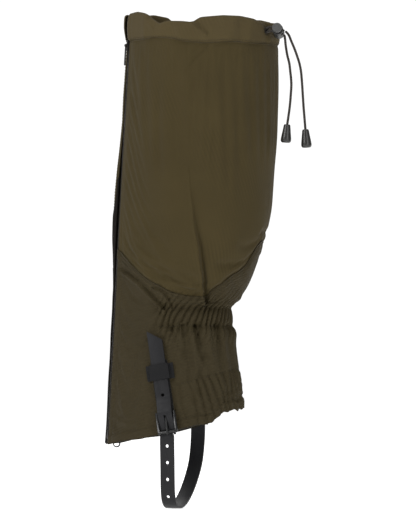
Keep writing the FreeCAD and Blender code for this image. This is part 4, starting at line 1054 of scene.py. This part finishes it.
# creases and dents of its outer side, in side view; creases as above, dents: line, width, depth
TOP_CREASES = [
    ([(189.5, 14), (192, 22), (198, 28), (207, 35)], 3.4, 3.6, 4.6, 2.6),
    ([(147, 8), (149.5, 18), (155, 27)], 3.4, 4.2, 3.4, 1.0),
]
TOP_DENTS = [
    ([(266, 25), (271, 32)], 4.0, 3.2),
    ([(230, 17), (226, 30)], 5.0, 1.1),
    ([(170, 20), (174, 32)], 4.0, 1.0),
]


def top_row(share, stitch_z, edge_z, gather):
    """Heights and stand-off at a share of the way up, over and down the folded edge."""
    if share < OUTER_SHARE:
        t = share / OUTER_SHARE
        z = stitch_z + (edge_z - TOP_ROUND - stitch_z) * t
        stand = 0.15 + 2.3 * math.sin(math.pi * min(1, t * 0.62 + 0.04)) ** 0.8
        stand = stand + gather * (0.4 + 0.6 * math.cos(t * 1.3))
    elif share < ROUND_SHARE:
        turn = (share - OUTER_SHARE) / 0.18 * math.pi
        z = edge_z - TOP_ROUND + TOP_ROUND * math.sin(turn)
        stand = -0.4 + 2.25 * math.cos(turn) + gather * 0.35
    else:
        t = (share - ROUND_SHARE) / 0.40
        z = edge_z - TOP_ROUND + (stitch_z - edge_z + TOP_ROUND) * t
        stand = -2.6 - 0.4 * math.sin(math.pi * t) + gather * 0.25 + 0.6 * t
    return z, stand


def top_edge_points():
    stitch_z = upper_z[:, -1]
    edge_z = crossing(TOP_EDGE, upper_angle[:, -1])
    arc = upper_angle[:, -1] * LEG_RADIUS
    gather = (1.0 * value_noise(arc / 8.0, 3, 51)
              + 0.55 * np.sin(arc / 3.3 + 2.4 * value_noise(arc / 16.0, 0, 52)))
    points, angles = [], []
    for k in range(TOP_ROWS):
        z, stand = top_row(k / (TOP_ROWS - 1.0), stitch_z, edge_z, gather)
        angle = wrap_angle(z, np.linspace(0, 1, COLUMNS))
        surface, push = base_shape(angle, z)
        x, y = side_view(surface)
        pinch = 0
        for row in TOP_CREASES:
            pinch = pinch + crease(x, y, *row)
        for line, width, depth in TOP_DENTS:
            pinch = pinch - depth * hill(line_place(x, y, line)[0], width)
        pinch = pinch * (surface[:, 0] > 0) * (stand > -1.6)
        points.append(surface + radial(angle, z) * (push * 0.8 + stand + pinch)[:, None])
        angles.append(angle)
    points, angles = np.stack(points, 1), np.stack(angles, 1)
    points[:, 0] = upper_points[:, -1] + radial(angles[:, 0], stitch_z) * 0.55
    return points, angles


top_points, top_angle = top_edge_points()
top_run = np.cumsum(np.linalg.norm(np.diff(top_points, axis=1), axis=2), 1)
top_run = np.concatenate([np.zeros((COLUMNS, 1)), top_run], 1)
top = sheet("folded_top_edge", top_points, 0.7, MATERIALS["top_twill_painted_lighter"],
            cloth_uv(top_angle, top_run + 470))
stand_for("top_hem")


# ---------------------------------------------------------------- sleeve stitching
def lower_line(heights):
    """Points and normals of the lower cloth at one height per column."""
    points, line_normals = [], []
    for i in range(COLUMNS):
        row = lower_z[i]
        j = int(np.clip(np.searchsorted(row, heights[i]), 1, len(row) - 1))
        t = np.clip((heights[i] - row[j - 1]) / max(1e-6, row[j] - row[j - 1]), 0, 1)
        points.append(lower_points[i, j - 1] * (1 - t) + lower_points[i, j] * t)
        line_normals.append(lower_normals[i, j - 1])
    return np.array(points), np.array(line_normals)


def sleeve_stitching():
    lines = [lower_line(lower_z[:, -1] - offset) for offset in FELL_LINES]
    lines.append(lower_line(lower_z[:, 0] + HEM_LINE))
    for height in (ANKLE_LOW, ANKLE_HIGH):
        points, line_normals = lower_line(np.full(COLUMNS, height))
        kept = ankle_span(points) > 0.5
        lines.append((points[kept], line_normals[kept]))
    heel_y = skin(lower_angle[:, 0], np.full(COLUMNS, 130.0))[:, 1]
    points, line_normals = lower_line(HEEL_STITCH(heel_y))
    kept = points[:, 1] > 8
    lines.append((points[kept], line_normals[kept]))
    upper_normals = normals(upper_points)
    for i in (3, 8, COLUMNS - 4, COLUMNS - 9):      # two lines down each side of the zip
        lines.append((lower_points[i, 2:-12], lower_normals[i, 2:-12]))
        lines.append((upper_points[i, 4:-1], upper_normals[i, 4:-1]))
    lines.append((top_points[:, 1], normals(top_points)[:, 1]))
    stitches("sleeve_stitching", lines, MATERIALS["thread"])


sleeve_stitching()


# ---------------------------------------------------------------- elastics inside
def band(name, cad_name, low, high, start_degrees, end_degrees):
    """An elastic band inside the cloth between two heights."""
    angle, rise = np.meshgrid(
        np.linspace(math.radians(start_degrees), math.radians(end_degrees), 320),
        np.linspace(0, 1, 26), indexing="ij")
    z = low(angle) + (high(angle) - low(angle)) * rise
    points, push = base_shape(angle, z)
    push = push + shirring(angle, z, points) * 0.6 + heel_gathers(angle, z, points) * 0.6
    points = points + radial(angle, z) * (push - 2.9)[..., None]
    piece = sheet(name, points, 0.9, MATERIALS["elastic"], cloth_uv(angle, z))
    stand_for(cad_name)


band("ankle_elastic_band", "ankle_elastic", low=lambda angle: ANKLE_LOW + 1,
     high=lambda angle: ANKLE_HIGH - 1, start_degrees=81, end_degrees=279)
band("heel_elastic_band", "hem_elastic", low=lambda angle: hem_height(angle) + 10,
     high=lambda angle: hem_height(angle) + 28, start_degrees=117, end_degrees=243)

# ---------------------------------------------------------------- zip
COIL_PITCH = 1.35
COIL_START, COIL_END = 9.6, 401.4


def zip_tape(name, cad_name, side):
    """One tape; side is 1 toward the outer side and -1 toward the inner."""
    across, up = np.meshgrid(np.linspace(0.06, 10.3, 12), np.linspace(0.3, 417.6, 300),
                             indexing="ij")
    inward = 0.02 + 0.05 * np.sin(up / 5.0 + side)
    points = zip_place((across * side)[..., None], inward[..., None], up[..., None])
    if side < 0:
        points, across = points[::-1], across[::-1]
    piece = sheet(name, points, 0.5, MATERIALS["tape"], np.stack([across, up], -1))
    stand_for(cad_name)


def zip_coil(name, cad_name, side):
    """One row of rounded loops and the cord that runs through them."""
    count, sides = 18, 6
    turn = np.linspace(0, TAU, count, endpoint=False)
    cosine, sine = np.cos(turn), np.sin(turn)
    across = 1.78 + 1.20 * np.sign(cosine) * np.abs(cosine) ** 0.7
    inward = -1.22 + 0.80 * np.sign(sine) * np.abs(sine) ** 0.8
    ring = np.stack([across * side, inward, 0.22 * sine], 1)
    heading = np.roll(ring, -1, 0) - np.roll(ring, 1, 0)
    heading /= np.linalg.norm(heading, axis=1, keepdims=True)
    normal = np.cross(heading, [0, 0, 1.0])
    normal /= np.linalg.norm(normal, axis=1, keepdims=True)
    cross = np.cross(heading, normal)
    wire = np.linspace(0, TAU, sides, endpoint=False)[None, :, None]
    radii = 0.30 + 0.10 * (cosine < -0.6)       # thicker where the two rows meet
    tooth = ring[:, None] + (normal[:, None] * np.cos(wire)
                             + cross[:, None] * np.sin(wire)) * radii[:, None, None]
    tooth = tooth.reshape(-1, 3)
    tooth_faces = tube_faces(count, sides, closed=True)
    start = COIL_START + (0 if side > 0 else COIL_PITCH / 2)
    verts, faces = [], []
    for k, z in enumerate(np.arange(start, COIL_END, COIL_PITCH)):
        verts.append(zip_place(tooth[:, :1], tooth[:, 1:2], tooth[:, 2:] + z))
        faces.append(tooth_faces + k * len(tooth))
    piece = new_mesh(name, np.concatenate(verts), [np.concatenate(faces)], [MATERIALS["coil"]])
    stand_for(cad_name)
    tube(name + "_core", [zip_place(1.9 * side, -1.15, z) for z in np.linspace(9.4, 401.7, 60)],
         0.55, MATERIALS["tape"], sides=8)


def zip_binding():
    """The strip along the inner side of the zip, narrowing toward its top."""
    part, rise = np.meshgrid(np.linspace(0, 1, 16), np.linspace(0, 1, 420), indexing="ij")
    foot = float(hem_height(zip_angle(np.array(80.0), -ZIP_EDGE) + TAU))
    z = foot + 1.0 + (330.0 - foot) * rise
    near, wide, narrow = [zip_angle(z, offset) for offset in (-4.2, -14.5, -6.6)]
    far = wide + (narrow - wide) * smooth((z - 272) / 46.0)
    angle = TAU + far + (near - far) * part
    points, push = base_shape(angle, z)
    crown = np.clip(np.sin(np.pi * (0.08 + 0.84 * part)), 0, 1)
    ripple = 0.5 * np.sin(z / 8.5 + 1.2 * np.sin(z / 31.0)) * (np.sin(z / 47.0) * 0.5 + 0.5)
    stand = np.maximum(push, 0) + 0.75 + 0.35 * crown + 0.6 * ripple * crown
    sheet("zip_binding", points + radial(angle, z) * stand[..., None], 0.8, MATERIALS["tape"],
          np.stack([part * 10, z], -1))


zip_tape("zip_tape_outer_weave", "zip_tape_outer", 1)
zip_tape("zip_tape_inner_weave", "zip_tape_inner", -1)
zip_coil("zip_coil_outer_teeth", "zip_coil_outer", 1)
zip_coil("zip_coil_inner_teeth", "zip_coil_inner", -1)
zip_binding()
stitches("zip_stitching",
         [straight_line(lambda up: zip_place(across, -0.02, up), np.linspace(10, 408, 300), ZIP_OUT)
          for across in (4.4, -4.4, 5.2, -5.2)],
         MATERIALS["thread_dark"], pitch=2.4, length=1.7, radius=0.16)

# ---------------------------------------------------------------- zip hardware and strap group
# CAD piece, material, body it rides on, bevel width, and bevel segments where not three
for row in [
    ("zip_top_stops", "zipmetal", "sleeve", 0.35),
    ("zip_retainer_box", "coil", "sleeve", 0.45),
    ("zip_insertion_pin", "coil", "sleeve", 0.25),
    ("zip_slider", "zipmetal", "slider", 0.28),
    ("zip_pull", "zipmetal", "pull", 0.28),
    ("strap_backing", "backing", "sleeve", 0.35),
    ("strap_keeper", "keeper", "sleeve", 0.45),
    ("buckle_tab", "backing", "sleeve", 0.25),
    ("buckle_frame", "buckle", "buckle", 0.7, 4),
    ("buckle_prong", "buckle", "prong", 0.45, 4),
    ("strap_free_end", "rubber", "sleeve", 0.45),
    ("instep_strap", "rubber", "instep", 0.45),
    ("anchor_patch", "patch", "sleeve", 0.3),
    ("anchor_rivet", "steel", "sleeve", 0.3),
    ("lace_hook", "hook", "hook", 0.28),
    ("hook_tab", "backing", "sleeve", 0.25),
    ("hook_rivet", "steel", "sleeve", 0.2),
]:
    bevelled(*row)

# stitch lines along the strap: stand-off, half spacing, start, end, number of stations
stitches("strap_stitching",
         [straight_line(lambda up: strap_place(out, across, up), np.linspace(start, end, count),
                        STRAP_OUT)
          for out, half, start, end, count in ((1.2, 7.3, -5, 60, 60), (1.42, 12.0, 43.5, 57.2, 20))
          for across in (-half, half)],
         MATERIALS["thread_dark"], pitch=2.8, length=2.0, radius=0.2)

# ---------------------------------------------------------------- drawcord
CORD_HEIGHT = 478.0
CORD_INSET = 1.3            # the cord runs this far inside the leg surface
CORD_RADIUS = 1.25
MOUTH_X = 27.0              # where the cord leaves the tunnel, at the back of the outer side
HALF_GAP = 1.8              # the two cords pass the lock this far above and below its centre
LOCK_CENTRE = np.array([30.0, 110.5, 477.5])
LOCK_AXIS = unit([0.97, 0.104, 0.22])
LOCK_REAR = np.array([0, 1.0, -0.3])
LOCK_REAR = unit(LOCK_REAR - LOCK_AXIS * LOCK_REAR.dot(LOCK_AXIS))
LOCK_UP = np.cross(LOCK_AXIS, LOCK_REAR)
half_width, half_depth, centre_y = [float(v) for v in leg_section(np.array(CORD_HEIGHT))]


def ring_point(degrees, z=CORD_HEIGHT):
    turn = math.radians(degrees)
    return np.array([(half_width - CORD_INSET) * math.sin(turn),
                     centre_y - (half_depth - CORD_INSET) * math.cos(turn), z])


MOUTH = ring_point(180.0 - math.degrees(math.asin(MOUTH_X / (half_width - CORD_INSET))))
MOUTH_OUT = unit([MOUTH[0] / half_width ** 2, (MOUTH[1] - centre_y) / half_depth ** 2, 0])
MOUTH_ALONG = np.array([MOUTH_OUT[1], -MOUTH_OUT[0], 0])


def mouth_place(along, out, up):
    return MOUTH + MOUTH_ALONG * along + MOUTH_OUT * out + np.array([0, 0, 1.0]) * up


def lock_run(up, *rears):
    """Points through the lock at distances behind its centre."""
    return [LOCK_CENTRE + LOCK_REAR * rear + LOCK_UP * up for rear in rears]


outer_run = [ring_point(d) for d in range(32, 138, 7)] + [ring_point(144, 478.5)]
outer_run += [mouth_place(2.2, 0.4, 1.5), mouth_place(0.6, 3.2, 2.2)]
outer_run += lock_run(HALF_GAP, -7.4, -6.4, -5.4, -2.6, 0, 6.4)
inner_run = [ring_point(d) for d in range(2, -186, -8)] + [ring_point(-193, 477.6)]
inner_run += [mouth_place(-2.6, 0.5, -1.5), mouth_place(-0.2, 3.4, -1.6)]
inner_run += lock_run(-HALF_GAP, -7.4, -6.4, -5.4, -2.6, 0, 6.2)
# hanging tails below the lock: (y, z), each in a plane of constant x
front_tail = lock_run(-HALF_GAP, 7.0) + [(30.2, y, z) for y, z in (
    (117.5, 470.2), (118.2, 463.5), (119.9, 453.0), (121.9, 445.0), (122.9, 437.0), (124.0, 425.0),
    (123.4, 413.0), (122.3, 401.0), (120.9, 391.0), (119.7, 383.0), (119.2, 377.0))]
rear_tail = lock_run(HALF_GAP, 7.0) + [(29.4, y, z) for y, z in (
    (120.9, 473.6), (124.0, 466.5), (127.0, 459.5), (129.4, 453.0), (132.0, 445.0), (133.6, 437.0),
    (134.7, 425.0), (135.5, 413.0), (136.3, 401.0), (137.3, 389.0), (138.2, 378.0), (138.6, 372.0))]
# cord end, from its open foot up to the cord: (distance along, radius)
BELL_PROFILE = [
    (0.0, 0.02), (0.0, 1.2), (0.55, 1.35), (0.5, 1.9), (0.1, 2.6), (0.05, 3.2), (0.3, 4.0),
    (0.8, 4.55), (1.6, 5.0), (2.6, 5.22), (3.8, 5.2), (5.2, 5.04), (8.0, 4.66), (11.0, 4.2),
    (14.0, 3.78), (16.6, 3.42), (17.5, 3.25), (18.1, 2.95), (18.45, 2.4), (18.45, 1.7),
    (18.0, 1.3), (16.0, 1.28)]
BELL_DROP = 11.3            # the foot of a cord end below the end of its cord


def braid_radius(run):
    return 1.24 + 0.05 * np.sin(run * TAU / 1.6)


for cad_name, points, body in (("drawcord_outer", outer_run, "sleeve"),
                               ("drawcord_inner", inner_run, "sleeve"),
                               ("cord_tail_rear", rear_tail, "tail_rear"),
                               ("cord_tail_front", front_tail, "tail_front")):
    cord = tube(cad_name + "_braid", resample(points, 0.45), CORD_RADIUS, MATERIALS["cord"],
                sides=16, body=body, radius_at=braid_radius)
    stand_for(cad_name)

for cad_name, tail, body in (("cord_end_rear", rear_tail, "tail_rear"),
                             ("cord_end_front", front_tail, "tail_front")):
    upward = unit(np.array(tail[-2]) - np.array(tail[-1]))
    cord_end = lathe(cad_name + "_bell", BELL_PROFILE, np.array(tail[-1]) - upward * BELL_DROP,
                     upward, MATERIALS["bell"], body, sides=56)
    stand_for(cad_name)

bevelled("cord_lock_body", "lock", "sleeve", 0.5, 4)
bevelled("cord_lock_plunger", "plunger", "plunger", 0.45, 4)
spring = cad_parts["cord_lock_spring"]
spring.data.materials.clear()
spring.data.materials.append(MATERIALS["steel"])

# a flat dark disc, painted shade for the hole where the cord leaves the tunnel
lathe("cord_mouth_painted_shade", [(0.0, 0.01), (0.0, 2.6), (-0.2, 3.0)], mouth_place(0, 2.75, 0), MOUTH_OUT,
      MATERIALS["thread_dark"], "sleeve", sides=32)
stitches("mouth_stitching",
         [straight_line(lambda turn: mouth_place(3.4 * math.cos(turn), 3.0, 4.6 * math.sin(turn)),
                        np.linspace(0, TAU, 60), MOUTH_OUT)],
         MATERIALS["thread"], pitch=1.0, length=1.9, radius=0.28)


# ---------------------------------------------------------------- stage, light, camera (metres)
def make_floor():
    """A pale, faintly glowing floor."""
    shader = MATERIALS["floor"].node_tree.nodes["Principled BSDF"]
    shader.inputs["Emission Color"].default_value = (1, 1, 1, 1)
    shader.inputs["Emission Strength"].default_value = 0.72
    mesh = bpy.data.meshes.new("floor")
    mesh.from_pydata([(-9, -9, 0), (9, -9, 0), (9, 9, 0), (-9, 9, 0)], [], [(0, 1, 2, 3)])
    mesh.materials.append(MATERIALS["floor"])
    floor = bpy.data.objects.new("floor", mesh)
    bpy.context.scene.collection.objects.link(floor)


def make_world(light_strength, camera_extra):
    """A white world, brighter where the camera sees it directly."""
    world = bpy.data.worlds.new("studio")
    scene.world = world
    world.use_nodes = True
    tree = world.node_tree
    background = tree.nodes["Background"]
    background.inputs[0].default_value = (1, 1, 1, 1)
    light_path = add_node(tree, "ShaderNodeLightPath")
    strength = add_node(tree, "ShaderNodeMath", "MULTIPLY_ADD")
    strength.inputs[1].default_value = camera_extra
    strength.inputs[2].default_value = light_strength
    tree.links.new(light_path.outputs["Is Camera Ray"], strength.inputs[0])
    tree.links.new(strength.outputs[0], background.inputs[1])


def area_light(name, location, size, power):
    light = bpy.data.lights.new(name, "AREA")
    light.size = size
    light.energy = power
    lamp = bpy.data.objects.new(name, light)
    lamp.location = location
    lamp.rotation_mode = "QUATERNION"
    direction = Vector((0, 0.02, 0.27)) - Vector(location)
    lamp.rotation_quaternion = direction.to_track_quat("-Z", "Y")
    scene.collection.objects.link(lamp)


def make_camera(azimuth, target, distance, view_width):
    """A level camera; azimuth is in degrees from the shin toward the outer side."""
    data = bpy.data.cameras.new("camera")
    camera = bpy.data.objects.new("camera", data)
    scene.collection.objects.link(camera)
    scene.camera = camera
    turn = math.radians(azimuth)
    backward = Vector((math.sin(turn), -math.cos(turn), 0))
    camera.location = Vector(target) + backward * distance
    camera.rotation_mode = "QUATERNION"
    camera.rotation_quaternion = (-backward).to_track_quat("-Z", "Y")
    data.sensor_fit = "AUTO"
    data.sensor_width = 36.0
    data.lens = 36.0 * distance / view_width
    data.clip_start, data.clip_end = 0.05, 50


scene = bpy.context.scene
make_floor()
make_world(light_strength=0.34, camera_extra=0.72)
scene.view_settings.view_transform = "Standard"
area_light("key", location=(1.75, -1.25, 1.35), size=0.8, power=24)
area_light("top", location=(0.6, 0.1, 2.2), size=0.9, power=16)
area_light("fill", location=(1.6, 1.6, 0.9), size=1.3, power=15)
area_light("back", location=(-1.6, -0.4, 1.6), size=1.6, power=14)
make_camera(azimuth=102, target=(-0.0067, 0.0313, 0.249), distance=5.5, view_width=0.5232)
